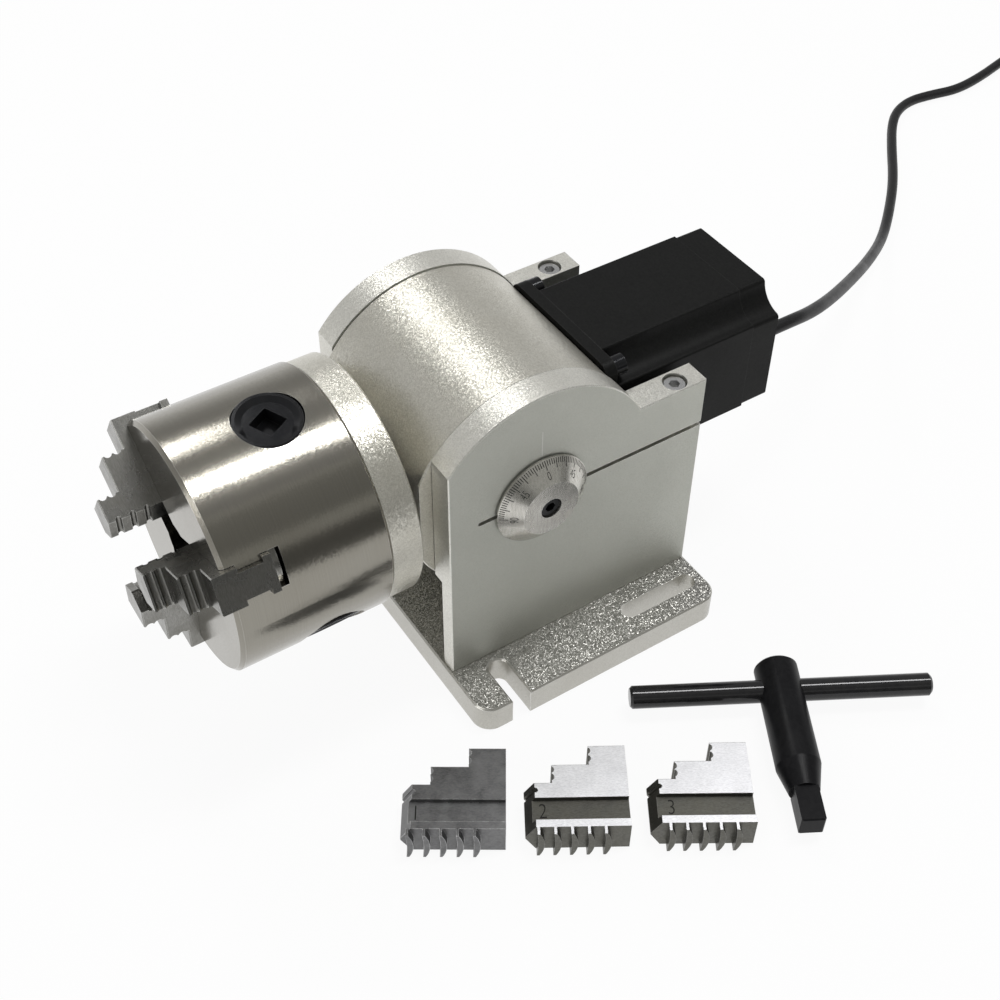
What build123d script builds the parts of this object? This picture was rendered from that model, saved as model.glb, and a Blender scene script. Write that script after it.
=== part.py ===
# Rotary axis with a three-jaw chuck, a tilting housing and a stepper motor.
# Millimetres. The origin is on the underside of the base, in the middle plane
# and straight below the tilt axis. +Z is up and the chuck faces -Y.
import os
from math import atan, cos, pi, radians, sin, sqrt, tan

from build123d import *

os.makedirs("parts", exist_ok=True)

# Overall places
pivot_height = 93.4
running_clearance = 0.05
seat_clearance = 0.02
slide_clearance = 0.15

# Base plate
base_width = 149.0
base_front_y = -42.0
base_rear_y = 78.0
base_thickness = 13.0
base_corner_radius = 8.0
base_edge_chamfer = 0.7
open_slot_width = 8.5
open_slot_y = -23.6
open_slot_root_x = 57.0
long_slot_width = 8.0
long_slot_x = 61.2
long_slot_front_y = 36.0
long_slot_rear_y = 74.0

# Side cheeks, cut at pivot height so that each ear clamps its journal
cheek_gap = 75.0
cheek_thickness = 11.6
cheek_front_y = -40.6
cheek_rear_y = 77.4
cheek_radius = 50.8
ear_top = 116.1
ear_fillet = 3.0
ear_edge_chamfer = 0.4
relief_depth = 5.0
relief_top = 62.5
relief_length = 18.0
clamp_slit_width = 2.0
clamp_slit_front_y = -28.0

# Screws that hold the cheeks from below
cheek_screw_rows = (-12.0, 24.0, 60.0)
cheek_screw_radius = 3.0
cheek_screw_head_radius = 5.0
cheek_screw_head_height = 6.0
cheek_screw_length = 28.0
cheek_screw_sink = 7.0
socket_gap = 0.5

# Clamp screws in the ears
clamp_screw_y = 66.0
clamp_screw_radius = 2.5
clamp_head_radius = 4.25
clamp_head_height = 5.0
clamp_counterbore_radius = 5.0
clamp_counterbore_depth = 6.2
clamp_screw_length = 42.0
clamp_hex = 4.0
clamp_hex_depth = 2.6

# Tilting housing and its journals
housing_radius = 50.3
housing_side_gap = 0.25
housing_front_y = -46.0
housing_edge_chamfer = 0.5
journal_radius = 14.0
journal_flange_radius = 24.0
journal_flange_thickness = 5.0
journal_screw_circle = 18.5
journal_screw_radius = 2.0
journal_screw_head_radius = 3.5
journal_screw_head_height = 3.0
journal_screw_length = 14.0

# Angle dial on the right journal
dial_gap = 0.6
dial_radius = 20.4
dial_face_radius = 12.4
dial_height = 6.8
dial_rim = 0.8
dial_screw_radius = 2.5
dial_head_radius = 4.25
dial_head_height = 5.0
dial_counterbore_radius = 4.6
dial_screw_sink = 0.8
dial_screw_length = 17.0

# Spindle bearings, two sealed 25 x 47 x 12 bearings with spacers between
bearing_bore_radius = 12.5
bearing_outer_radius = 23.5
bearing_width = 12.0
bearing_front_y = -40.0
bearing_spacer_width = 8.0
seal_radius = 17.5
outer_spacer_inner_radius = 20.0
inner_spacer_outer_radius = 16.0
circlip_thickness = 1.75
circlip_depth = 1.2
circlip_inner_radius = 20.5

# Spindle, its locknut and the coupling to the motor
spindle_flange_radius = 28.0
spindle_flange_thickness = 6.0
spindle_pilot_radius = 15.0
spindle_shoulder_radius = 16.0
locknut_radius = 16.5
locknut_width = 7.0
spindle_stub_radius = 7.0
spindle_stub_length = 15.0
chamber_radius = 18.0
coupling_radius = 14.0
coupling_start_gap = 1.0
coupling_length = 36.0
coupling_groove_width = 1.0
coupling_groove_depth = 2.0

# Motor with a square frame and scooped corners
motor_size = 66.0
motor_face_y = 40.5
motor_flange_thickness = 5.2
motor_flange_radius = 5.0
motor_body_length = 68.8
motor_cap_length = 14.0
motor_cap_inset = 0.35
motor_corner_scoop = 11.0
motor_edge_radius = 2.0
motor_pilot_radius = 19.05
motor_pilot_depth = 1.6
motor_shaft_radius = 4.0
motor_shaft_reach = 23.0
motor_shaft_hidden = 16.0
motor_screw_pitch = 57.0
motor_screw_radius = 2.5
motor_screw_head_radius = 4.25
motor_screw_head_height = 5.0
motor_screw_length = 16.0

# Faceplate between spindle and chuck
faceplate_rear_y = -51.3
faceplate_thickness = 13.6
faceplate_radius = 49.0
faceplate_chamfer = 0.8
register_radius = 33.0
register_height = 3.0
faceplate_screw_circle = 22.0
faceplate_screw_radius = 2.5
faceplate_screw_head_radius = 4.25
faceplate_screw_head_height = 5.0
faceplate_screw_length = 16.0
mount_screw_circle = 37.5
mount_screw_radius = 3.0
mount_screw_head_radius = 5.0
mount_screw_head_height = 6.0
mount_screw_length = 22.0

# Chuck body. Depths count backwards from the front face of the chuck
chuck_radius = 50.0
chuck_length = 61.6
chuck_front_chamfer = 1.5
chuck_rear_chamfer = 0.4
chuck_bore_radius = 11.0
hub_radius = 16.4
scroll_radius = 41.0
cavity_gap = 0.3
cover_flange_radius = 47.5
cover_flange_thickness = 5.0
cover_front_depth = 34.6
cover_screw_circle = 44.2
cover_screw_radius = 1.5
cover_screw_head_radius = 2.9
cover_screw_head_height = 2.0
cover_screw_length = 12.0
cover_screw_start = 5.65

# Jaws and their guides
jaw_angles = (24.35, 144.35, 264.35)
jaw_width = 14.8
jaw_groove_top = 5.0
jaw_groove_width = 9.6
jaw_groove_recess = 2.1
jaw_strip = 3.2
jaw_tooth_height = 3.2
jaw_tooth_thickness = 2.4
jaw_tooth_count = 5
jaw_tooth_inner_curve = 60.0
jaw_tooth_outer_curve = 16.0
jaw_tip_rho = 13.3
nose_flat = 1.0
spare_first_tooth = 3.9
inner_jaw_length = 38.9
inner_jaw_steps = ((13.5, 25.9), (27.3, 17.9), (38.9, 9.6))
outer_jaw_length = 39.8
outer_jaw_steps = ((10.8, 6.8), (25.4, 14.9), (39.8, 23.4))
jaw_edge_chamfer = 0.4
grip_notch_radius = 1.6
grip_notch_offset = 0.6
nose_notch_radius = 1.1
nose_notch_offset = 0.3

# Scroll plate: a spiral on the front, bevel teeth on the back
scroll_pitch = 6.3
spiral_land = 3.0
spiral_depth = 3.6
spiral_inner_rho = 18.2
spiral_outer_rho = 39.3
scroll_plate_thickness = 6.0
scroll_teeth = 45
pinion_teeth = 9
bevel_outer_rho = 40.0
bevel_inner_rho = 29.0
bevel_addendum = 1.2
bevel_dedendum = 1.45
bevel_backlash = 0.35
bevel_pressure_angle = 24.0

# Pinions that the key turns
pinion_offset = 60.0
pinion_depth = 39.0
pinion_head_radius = 13.15
pinion_hole_gap = 0.1
pinion_gear_rho = 31.0
pinion_head_rho = 42.0
pinion_face_rho = 49.2
pinion_dish_depth = 1.6
pinion_dish_radius = 11.6
pinion_socket = 9.8
pinion_socket_depth = 7.0
pinion_socket_turn = 28.0
pinion_neck_radius = 6.4
pinion_groove_rho = 45.6
pinion_groove_width = 2.2
pinion_groove_depth = 1.6
pinion_pin_radius = 0.9
pinion_stub_radius = 3.5
pinion_stub_tip_rho = 13.3
pinion_pocket_radius = 11.0

# Spare reverse jaws, lying on one flank beside the base
spare_jaw_turns = (57.1, 58.5, 58.0)
spare_jaw_places = ((91.0, -89.5), (115.8, -49.8), (139.8, -8.8))

# Chuck key
key_shank_radius = 9.0
key_head_length = 12.0
key_shank_length = 37.0
key_taper_length = 11.5
key_neck_radius = 6.2
key_square = 9.5
key_square_length = 15.5
key_bar_radius = 4.75
key_bar_length = 124.0
key_centre = (126.4, 68.6)
key_direction = -29.4

# Screw sockets, chamfers and small clearances
bore_clearance = 0.3
cut_margin = 0.2
plain_chamfer = 0.6
fine_chamfer = 0.4
key_chamfer = 1.0
gland_chamfer = 0.8
bend_share = 0.45
cheek_screw_hex = 5.0
cheek_screw_hex_depth = 3.0
journal_screw_hex = 3.0
journal_screw_hex_depth = 1.6
dial_screw_hex = 4.0
dial_screw_hex_depth = 3.0
motor_screw_hex = 4.0
motor_screw_hex_depth = 2.5
faceplate_screw_hex = 4.0
faceplate_screw_hex_depth = 2.5
mount_screw_hex = 5.0
mount_screw_hex_depth = 3.0
cover_screw_hex = 2.0
cover_screw_hex_depth = 1.2
coupling_slit_width = 2.4
coupling_slit_length = 4.0
grip_notch_shares = (0.30, 0.72)
inner_notch_drops = (4.0, 9.5, 15.0)
outer_notch_drop = 3.4

# Motor cable
cable_diameter = 5.8
gland_radius = 5.5
gland_length = 8.0
coil_radius = 32.0
coil_band = 12.5
coil_height = 11.7
coil_cord_offset = 3.0
coil_lead = 27.0
plug_radius = 8.0
plug_length = 30.0
plug_lead = 34.0
cable_route = (
    (18.0, 130.5, 92.0), (18.0, 150.0, 92.0), (13.0, 168.0, 86.0), (-1.0, 195.0, 73.0),
    (-27.0, 236.0, 50.0), (-57.0, 281.0, 24.0), (-84.0, 321.0, 6.0), (-105.0, 347.0, 2.95),
    (-127.0, 371.0, 2.95), (-153.0, 394.0, 2.95), (-171.0, 411.0, 2.95), (-182.0, 425.0, 2.95),
    (-187.0, 441.0, 2.95), (-185.0, 458.0, 2.95), (-181.0, 476.0, 2.95), (-184.0, 500.0, 2.95),
    (-192.0, 532.0, 2.95), (-197.0, 562.0, 2.95),
)

# Sizes worked out from the ones above
cheek_inner_x = cheek_gap / 2
cheek_outer_x = cheek_inner_x + cheek_thickness
cheek_middle_x = cheek_inner_x + cheek_thickness / 2
housing_half = cheek_inner_x - housing_side_gap
bearing_rear_y = bearing_front_y + 2 * bearing_width + bearing_spacer_width
spindle_end_y = bearing_rear_y + locknut_width
coupling_start_y = spindle_end_y + coupling_start_gap
motor_flange_rear_y = motor_face_y + motor_flange_thickness
motor_body_rear_y = motor_flange_rear_y + motor_body_length
motor_rear_y = motor_body_rear_y + motor_cap_length
faceplate_front_y = faceplate_rear_y - faceplate_thickness
chuck_face_y = faceplate_front_y - chuck_length
cavity_radius = scroll_radius + cavity_gap
jaw_strip_bottom = jaw_groove_top + jaw_groove_width + jaw_strip
spiral_crest_depth = jaw_strip_bottom + slide_clearance + 0.1
slot_bottom_depth = jaw_strip_bottom + jaw_tooth_height + 0.8
spiral_root_depth = spiral_crest_depth + spiral_depth
pinion_angles = tuple(angle + pinion_offset for angle in jaw_angles)
nose_length = (jaw_width - nose_flat) / 2 / tan(radians(60))
mount_screw_reach = mount_screw_length - faceplate_thickness + socket_gap


def cross_plane(y):
    # A plane across the spindle axis, its sketches seen from behind the chuck
    return Plane(origin=(0, y, pivot_height), x_dir=(1, 0, 0), z_dir=(0, 1, 0))


def depth_plane(depth):
    return cross_plane(chuck_face_y + depth)


def radial_plane(angle, rho, depth=0.0):
    # Looks outwards along a chuck radius; sketch y runs backwards
    a = radians(angle)
    return Plane(
        origin=(rho * cos(a), chuck_face_y + depth, pivot_height + rho * sin(a)),
        x_dir=(sin(a), 0, -cos(a)),
        z_dir=(cos(a), 0, sin(a)),
    )


def side_plane(x, outward=1):
    # A plane across the tilt axis with sketch x along +Y and sketch y up
    if outward > 0:
        return Plane(origin=(x, 0, pivot_height), x_dir=(0, 1, 0), z_dir=(1, 0, 0))
    return Plane(origin=(x, 0, pivot_height), x_dir=(0, -1, 0), z_dir=(-1, 0, 0))


def finish(builder, name):
    builder.part.label = name
    export_step(builder.part, f"parts/{name}.step")


def socket_screw(planes, name, radius, head_radius, head_height, length, hexagon=0.0, hex_depth=0.0):
    # Cap screws whose heads start at each plane and whose shanks run on along its normal
    with BuildPart() as screws:
        for plane in planes:
            with BuildSketch(plane):
                Circle(head_radius)
            extrude(amount=head_height)
            with BuildSketch(plane.offset(head_height)):
                Circle(radius)
            extrude(amount=length - head_height)
            with BuildSketch(plane):
                RegularPolygon(hexagon / 2 if hexagon else head_radius / 2, 6, major_radius=False)
            extrude(amount=hex_depth if hex_depth else head_height / 2, mode=Mode.SUBTRACT)
    finish(screws, name)
    return screws


def ring(name, y, width, outer, inner):
    with BuildPart() as body:
        with BuildSketch(cross_plane(y)):
            Circle(outer)
            Circle(inner, mode=Mode.SUBTRACT)
        extrude(amount=width)
    finish(body, name)
    return body


# Base plate with two open slots in front and two closed ones behind
base_length = base_rear_y - base_front_y
base_middle_y = (base_rear_y + base_front_y) / 2
cheek_screw_spots = [(side * cheek_middle_x, y) for side in (-1, 1) for y in cheek_screw_rows]
long_slot_length = long_slot_rear_y - long_slot_front_y
long_slot_middle_y = (long_slot_rear_y + long_slot_front_y) / 2
with BuildPart() as base_plate:
    with BuildSketch():
        with Locations((0, base_middle_y)):
            RectangleRounded(base_width, base_length, base_corner_radius)
        open_slot_length = base_width / 2 - open_slot_root_x
        for side in (-1, 1):
            with Locations((side * open_slot_root_x, open_slot_y)):
                Circle(open_slot_width / 2, mode=Mode.SUBTRACT)
            with Locations((side * (open_slot_root_x + open_slot_length), open_slot_y)):
                Rectangle(2 * open_slot_length, open_slot_width, mode=Mode.SUBTRACT)
        with Locations(*[(side * long_slot_x, long_slot_middle_y) for side in (-1, 1)]):
            SlotOverall(long_slot_length, long_slot_width, rotation=90, mode=Mode.SUBTRACT)
    extrude(amount=base_thickness)
    chamfer(base_plate.faces().sort_by(Axis.Z)[-1].outer_wire().edges(), base_edge_chamfer)
    with Locations(*[(x, y, 0) for x, y in cheek_screw_spots]):
        Cylinder(cheek_screw_radius + bore_clearance, base_thickness,
                 align=(Align.CENTER, Align.CENTER, Align.MIN),
                 mode=Mode.SUBTRACT)
        Cylinder(cheek_screw_head_radius + socket_gap, cheek_screw_sink,
                 align=(Align.CENTER, Align.CENTER, Align.MIN), mode=Mode.SUBTRACT)
finish(base_plate, "base_plate")

cheek_screw_planes = [
    Plane(origin=(x, y, cheek_screw_sink - cheek_screw_head_height), x_dir=(1, 0, 0), z_dir=(0, 0, 1))
    for x, y in cheek_screw_spots
]
socket_screw(cheek_screw_planes, "cheek_screws", cheek_screw_radius - seat_clearance, cheek_screw_head_radius,
             cheek_screw_head_height, cheek_screw_length, cheek_screw_hex, cheek_screw_hex_depth)


def cheek(side, name):
    # Upright with a round top about the tilt axis and a clamping ear behind
    arc_front_z = sqrt(cheek_radius ** 2 - cheek_front_y ** 2)
    ear_z = ear_top - pivot_height
    arc_rear_y = sqrt(cheek_radius ** 2 - ear_z ** 2)
    foot_z = base_thickness - pivot_height
    slit_length = cheek_rear_y - clamp_slit_front_y
    journal_bore = journal_radius + running_clearance
    with BuildPart() as body:
        with BuildSketch(Plane(origin=(side * cheek_inner_x, 0, pivot_height), x_dir=(0, 1, 0),
                               z_dir=(1, 0, 0))) as outline:
            with BuildLine():
                Polyline((arc_rear_y, ear_z), (cheek_rear_y, ear_z), (cheek_rear_y, foot_z),
                         (cheek_front_y, foot_z), (cheek_front_y, arc_front_z))
                ThreePointArc((cheek_front_y, arc_front_z), (0, cheek_radius), (arc_rear_y, ear_z))
            make_face()
            corner = outline.vertices().filter_by(
                lambda v: abs(v.Y - arc_rear_y) < 0.01 and abs(v.Z - ear_top) < 0.01)
            fillet(corner, ear_fillet)
            Circle(journal_bore, mode=Mode.SUBTRACT)
        extrude(amount=side * cheek_thickness)
        outer_face = body.faces().filter_by(Axis.X).sort_by(Axis.X)[-1 if side > 0 else 0]
        chamfer(outer_face.outer_wire().edges(), ear_edge_chamfer)
        with BuildSketch(Plane(origin=(side * cheek_inner_x, 0, pivot_height), x_dir=(0, 1, 0),
                               z_dir=(1, 0, 0))):
            with Locations(((clamp_slit_front_y + cheek_rear_y) / 2 + clamp_slit_width, 0)):
                SlotOverall(slit_length + 2 * clamp_slit_width, clamp_slit_width)
        extrude(amount=side * cheek_thickness, mode=Mode.SUBTRACT)
        with BuildSketch(Plane(origin=(side * cheek_inner_x, 0, 0), x_dir=(0, 1, 0), z_dir=(1, 0, 0))):
            with BuildLine():
                Polyline((cheek_front_y, base_thickness), (cheek_front_y + relief_length, base_thickness),
                         (cheek_front_y + relief_length, relief_top - relief_length),
                         (cheek_front_y, relief_top), (cheek_front_y, base_thickness))
            make_face()
        extrude(amount=side * relief_depth, mode=Mode.SUBTRACT)
        with Locations((side * cheek_middle_x, clamp_screw_y, ear_top)):
            Cylinder(clamp_counterbore_radius, clamp_counterbore_depth,
                     align=(Align.CENTER, Align.CENTER, Align.MAX), mode=Mode.SUBTRACT)
            Cylinder(clamp_screw_radius + running_clearance, clamp_counterbore_depth + clamp_screw_length,
                     align=(Align.CENTER, Align.CENTER, Align.MAX), mode=Mode.SUBTRACT)
        with Locations(*[(side * cheek_middle_x, y, base_thickness) for y in cheek_screw_rows]):
            Cylinder(cheek_screw_radius, cheek_screw_length,
                     align=(Align.CENTER, Align.CENTER, Align.MIN), mode=Mode.SUBTRACT)
    finish(body, name)
    return body


cheek(1, "cheek_right")
cheek(-1, "cheek_left")

for side, word in ((1, "right"), (-1, "left")):
    head_top = ear_top - clamp_counterbore_depth + clamp_head_height
    top_plane = Plane(origin=(side * cheek_middle_x, clamp_screw_y, head_top), x_dir=(1, 0, 0),
                      z_dir=(0, 0, -1))
    socket_screw([top_plane], f"clamp_screw_{word}", clamp_screw_radius, clamp_head_radius,
                 clamp_head_height, clamp_screw_length, clamp_hex, clamp_hex_depth)

# Tilting housing: a drum about the tilt axis, bored along the spindle axis
motor_half = motor_size / 2
motor_screw_half = motor_screw_pitch / 2
with BuildPart() as housing:
    with BuildSketch(side_plane(-housing_half)):
        Circle(housing_radius)
    extrude(amount=2 * housing_half)
    chamfer(housing.edges().filter_by(GeomType.CIRCLE), housing_edge_chamfer)
    with BuildSketch(cross_plane(housing_front_y)):
        Rectangle(4 * housing_radius, 4 * housing_radius)
    extrude(amount=-housing_radius, mode=Mode.SUBTRACT)
    with BuildSketch(cross_plane(motor_face_y)):
        Rectangle(4 * housing_radius, 4 * housing_radius)
    extrude(amount=housing_radius, mode=Mode.SUBTRACT)
    with BuildSketch(cross_plane(housing_front_y)):
        Circle(bearing_outer_radius)
    extrude(amount=bearing_rear_y - housing_front_y, mode=Mode.SUBTRACT)
    with BuildSketch(cross_plane(bearing_front_y - circlip_thickness)):
        Circle(bearing_outer_radius + circlip_depth)
    extrude(amount=circlip_thickness, mode=Mode.SUBTRACT)
    with BuildSketch(cross_plane(housing_front_y)):
        Circle(chamber_radius)
    extrude(amount=motor_face_y - housing_front_y, mode=Mode.SUBTRACT)
    with BuildSketch(cross_plane(motor_face_y)):
        Circle(motor_pilot_radius + seat_clearance)
    extrude(amount=-motor_pilot_depth - cut_margin, mode=Mode.SUBTRACT)
    with BuildSketch(cross_plane(motor_face_y)):
        with GridLocations(motor_screw_pitch, motor_screw_pitch, 2, 2):
            Circle(motor_screw_radius + seat_clearance)
    extrude(amount=-motor_screw_length, mode=Mode.SUBTRACT)
    for side in (-1, 1):
        with BuildSketch(side_plane(side * housing_half, side)):
            Circle(journal_flange_radius + seat_clearance)
        extrude(amount=-journal_flange_thickness, mode=Mode.SUBTRACT)
        with BuildSketch(side_plane(side * (housing_half - journal_flange_thickness), side)):
            with PolarLocations(journal_screw_circle, 4, 45):
                Circle(journal_screw_radius + seat_clearance)
        extrude(amount=-(journal_screw_length - journal_screw_head_height), mode=Mode.SUBTRACT)
finish(housing, "tilt_housing")


def journal(side, name):
    # Flanged stub that turns in its cheek
    reach = cheek_outer_x - housing_half + (dial_gap if side > 0 else -dial_gap)
    head_seat = journal_flange_thickness - journal_screw_head_height
    with BuildPart() as body:
        with BuildSketch(side_plane(side * (housing_half - journal_flange_thickness), side)):
            Circle(journal_flange_radius)
            with PolarLocations(journal_screw_circle, 4, 45):
                Circle(journal_screw_radius + seat_clearance, mode=Mode.SUBTRACT)
        extrude(amount=journal_flange_thickness)
        with BuildSketch(side_plane(side * housing_half, side)):
            with PolarLocations(journal_screw_circle, 4, 45):
                Circle(journal_screw_head_radius + socket_gap)
        extrude(amount=head_seat - journal_flange_thickness, mode=Mode.SUBTRACT)
        with BuildSketch(side_plane(side * housing_half, side)):
            Circle(journal_radius)
        extrude(amount=reach)
        if side > 0:
            with BuildSketch(side_plane(side * (housing_half + reach), side)):
                Circle(dial_screw_radius)
            extrude(amount=-dial_screw_length, mode=Mode.SUBTRACT)
    finish(body, name)
    return body


journal(1, "journal_right")
journal(-1, "journal_left")

journal_screw_planes = []
for side in (-1, 1):
    for corner in range(4):
        a = radians(45 + 90 * corner)
        journal_screw_planes.append(Plane(
            origin=(side * housing_half, journal_screw_circle * cos(a),
                    pivot_height + journal_screw_circle * sin(a)),
            x_dir=(0, 1, 0), z_dir=(-side, 0, 0)))
socket_screw(journal_screw_planes, "journal_screws", journal_screw_radius, journal_screw_head_radius,
             journal_screw_head_height, journal_screw_length, journal_screw_hex, journal_screw_hex_depth)

# Cone-edged dial and its screw
dial_inner_x = cheek_outer_x + dial_gap
dial_cut_top = dial_height - dial_screw_sink - dial_head_height
with BuildPart() as angle_dial:
    with BuildSketch(Plane(origin=(dial_inner_x, 0, pivot_height), x_dir=(1, 0, 0), z_dir=(0, -1, 0))):
        with BuildLine():
            Polyline((0, dial_screw_radius + running_clearance), (0, dial_radius), (dial_rim, dial_radius),
                     (dial_height, dial_face_radius), (dial_height, dial_counterbore_radius),
                     (dial_cut_top, dial_counterbore_radius),
                     (dial_cut_top, dial_screw_radius + running_clearance),
                     (0, dial_screw_radius + running_clearance))
        make_face()
    revolve(axis=Axis((0, 0, pivot_height), (1, 0, 0)))
finish(angle_dial, "angle_dial")

dial_screw_plane = Plane(origin=(dial_inner_x + dial_height - dial_screw_sink, 0, pivot_height),
                         x_dir=(0, 1, 0), z_dir=(-1, 0, 0))
socket_screw([dial_screw_plane], "dial_screw", dial_screw_radius - seat_clearance, dial_head_radius,
             dial_head_height, dial_screw_length, dial_screw_hex, dial_screw_hex_depth)

# Bearings. The seal of each outer ring runs close over its inner ring
outer_fit = bearing_outer_radius - seat_clearance
inner_fit = bearing_bore_radius + seat_clearance
rear_bearing_y = bearing_front_y + bearing_width + bearing_spacer_width
ring("front_bearing_outer", bearing_front_y, bearing_width, outer_fit, seal_radius)
ring("front_bearing_inner", bearing_front_y, bearing_width, seal_radius - running_clearance, inner_fit)
ring("bearing_spacer_outer", bearing_front_y + bearing_width, bearing_spacer_width, outer_fit,
     outer_spacer_inner_radius)
ring("bearing_spacer_inner", bearing_front_y + bearing_width, bearing_spacer_width,
     inner_spacer_outer_radius, inner_fit)
ring("rear_bearing_outer", rear_bearing_y, bearing_width, outer_fit, seal_radius)
ring("rear_bearing_inner", rear_bearing_y, bearing_width, seal_radius - running_clearance, inner_fit)

# Open retaining ring in front of the front bearing
circlip_y = bearing_front_y - circlip_thickness
circlip_gap = 12.0
with BuildPart() as bearing_circlip:
    with BuildSketch(cross_plane(circlip_y + seat_clearance)):
        Circle(bearing_outer_radius + circlip_depth - seat_clearance)
        Circle(circlip_inner_radius, mode=Mode.SUBTRACT)
        with Locations((0, bearing_outer_radius)):
            Rectangle(circlip_gap, bearing_outer_radius - circlip_depth, mode=Mode.SUBTRACT)
    extrude(amount=circlip_thickness - 2 * seat_clearance)
finish(bearing_circlip, "bearing_circlip")

# Spindle, turned about the axis of the chuck
spindle_profile = (
    (0, faceplate_front_y + cut_margin), (spindle_pilot_radius, faceplate_front_y + cut_margin),
    (spindle_pilot_radius, faceplate_rear_y - spindle_flange_thickness),
    (spindle_flange_radius, faceplate_rear_y - spindle_flange_thickness),
    (spindle_flange_radius, faceplate_rear_y), (spindle_shoulder_radius, faceplate_rear_y),
    (spindle_shoulder_radius, bearing_front_y), (bearing_bore_radius, bearing_front_y),
    (bearing_bore_radius, spindle_end_y), (spindle_stub_radius, spindle_end_y),
    (spindle_stub_radius, spindle_end_y + spindle_stub_length), (0, spindle_end_y + spindle_stub_length),
    (0, faceplate_front_y + cut_margin),
)
spindle_axis = Axis((0, 0, pivot_height), (0, 1, 0))
lengthwise = Plane(origin=(0, 0, pivot_height), x_dir=(1, 0, 0), z_dir=(0, 0, 1))
with BuildPart() as spindle:
    with BuildSketch(lengthwise):
        with BuildLine():
            Polyline(*spindle_profile)
        make_face()
    revolve(axis=spindle_axis)
    with BuildSketch(cross_plane(faceplate_rear_y - spindle_flange_thickness)):
        with PolarLocations(faceplate_screw_circle, 4, 45):
            Circle(faceplate_screw_radius)
    extrude(amount=spindle_flange_thickness, mode=Mode.SUBTRACT)
finish(spindle, "spindle")

# Slotted locknut that holds the inner rings
with BuildPart() as spindle_locknut:
    with BuildSketch(cross_plane(bearing_rear_y)):
        Circle(locknut_radius)
        Circle(bearing_bore_radius + seat_clearance, mode=Mode.SUBTRACT)
        with PolarLocations(locknut_radius, 4):
            Rectangle(coupling_slit_width, coupling_slit_length, mode=Mode.SUBTRACT)
    extrude(amount=locknut_width)
finish(spindle_locknut, "spindle_locknut")

# Beam coupling with three part grooves
with BuildPart() as shaft_coupling:
    with BuildSketch(cross_plane(coupling_start_y)):
        Circle(coupling_radius)
        Circle(spindle_stub_radius + seat_clearance, mode=Mode.SUBTRACT)
    extrude(amount=spindle_stub_length)
    with BuildSketch(cross_plane(coupling_start_y + spindle_stub_length)):
        Circle(coupling_radius)
        Circle(motor_shaft_radius + seat_clearance, mode=Mode.SUBTRACT)
    extrude(amount=coupling_length - spindle_stub_length)
    for step in (-1, 0, 1):
        groove_y = coupling_start_y + coupling_length / 2 + 4 * step * coupling_groove_width
        with BuildSketch(cross_plane(groove_y)):
            Circle(coupling_radius)
            Circle(coupling_radius - coupling_groove_depth, mode=Mode.SUBTRACT)
        extrude(amount=coupling_groove_width, mode=Mode.SUBTRACT)
finish(shaft_coupling, "shaft_coupling")


def motor_section(half, scoop):
    # Square with each corner scooped out for the fixing screws
    Rectangle(2 * half, 2 * half)
    with Locations(*[(i * half, j * half) for i in (-1, 1) for j in (-1, 1)]):
        Circle(scoop, mode=Mode.SUBTRACT)


# Motor: square front flange, laminated body and rear cap
with BuildPart() as motor_flange:
    with BuildSketch(cross_plane(motor_face_y)):
        RectangleRounded(motor_size, motor_size, motor_flange_radius)
        with GridLocations(motor_screw_pitch, motor_screw_pitch, 2, 2):
            Circle(motor_screw_radius + seat_clearance, mode=Mode.SUBTRACT)
    extrude(amount=motor_flange_thickness)
    with BuildSketch(cross_plane(motor_face_y)):
        Circle(motor_pilot_radius)
    extrude(amount=-motor_pilot_depth)
    with BuildSketch(cross_plane(motor_face_y - motor_pilot_depth)):
        Circle(motor_shaft_radius + running_clearance)
    extrude(amount=motor_pilot_depth + motor_flange_thickness, mode=Mode.SUBTRACT)
finish(motor_flange, "motor_flange")

with BuildPart() as motor_body:
    with BuildSketch(cross_plane(motor_flange_rear_y)) as body_outline:
        motor_section(motor_half, motor_corner_scoop)
        fillet(body_outline.vertices(), motor_edge_radius / 2)
    extrude(amount=motor_body_length)
    with BuildSketch(cross_plane(motor_flange_rear_y)):
        Circle(motor_shaft_radius + running_clearance)
    extrude(amount=motor_shaft_hidden, mode=Mode.SUBTRACT)
finish(motor_body, "motor_body")

with BuildPart() as motor_rear_cap:
    with BuildSketch(cross_plane(motor_body_rear_y)) as cap_outline:
        motor_section(motor_half - motor_cap_inset, motor_corner_scoop)
        fillet(cap_outline.vertices(), motor_edge_radius)
    extrude(amount=motor_cap_length)
    chamfer(motor_rear_cap.faces().sort_by(Axis.Y)[-1].edges(), plain_chamfer)
finish(motor_rear_cap, "motor_rear_cap")

with BuildPart() as motor_shaft:
    with BuildSketch(cross_plane(motor_face_y - motor_shaft_reach)):
        Circle(motor_shaft_radius)
    extrude(amount=motor_shaft_reach + motor_flange_thickness + motor_shaft_hidden - running_clearance)
finish(motor_shaft, "motor_shaft")

motor_screw_planes = [
    Plane(origin=(i * motor_screw_half, motor_flange_rear_y + motor_screw_head_height,
                  pivot_height + j * motor_screw_half), x_dir=(1, 0, 0), z_dir=(0, -1, 0))
    for i in (-1, 1) for j in (-1, 1)
]
socket_screw(motor_screw_planes, "motor_screws", motor_screw_radius, motor_screw_head_radius,
             motor_screw_head_height, motor_screw_length + motor_flange_thickness,
             motor_screw_hex, motor_screw_hex_depth)

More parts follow.
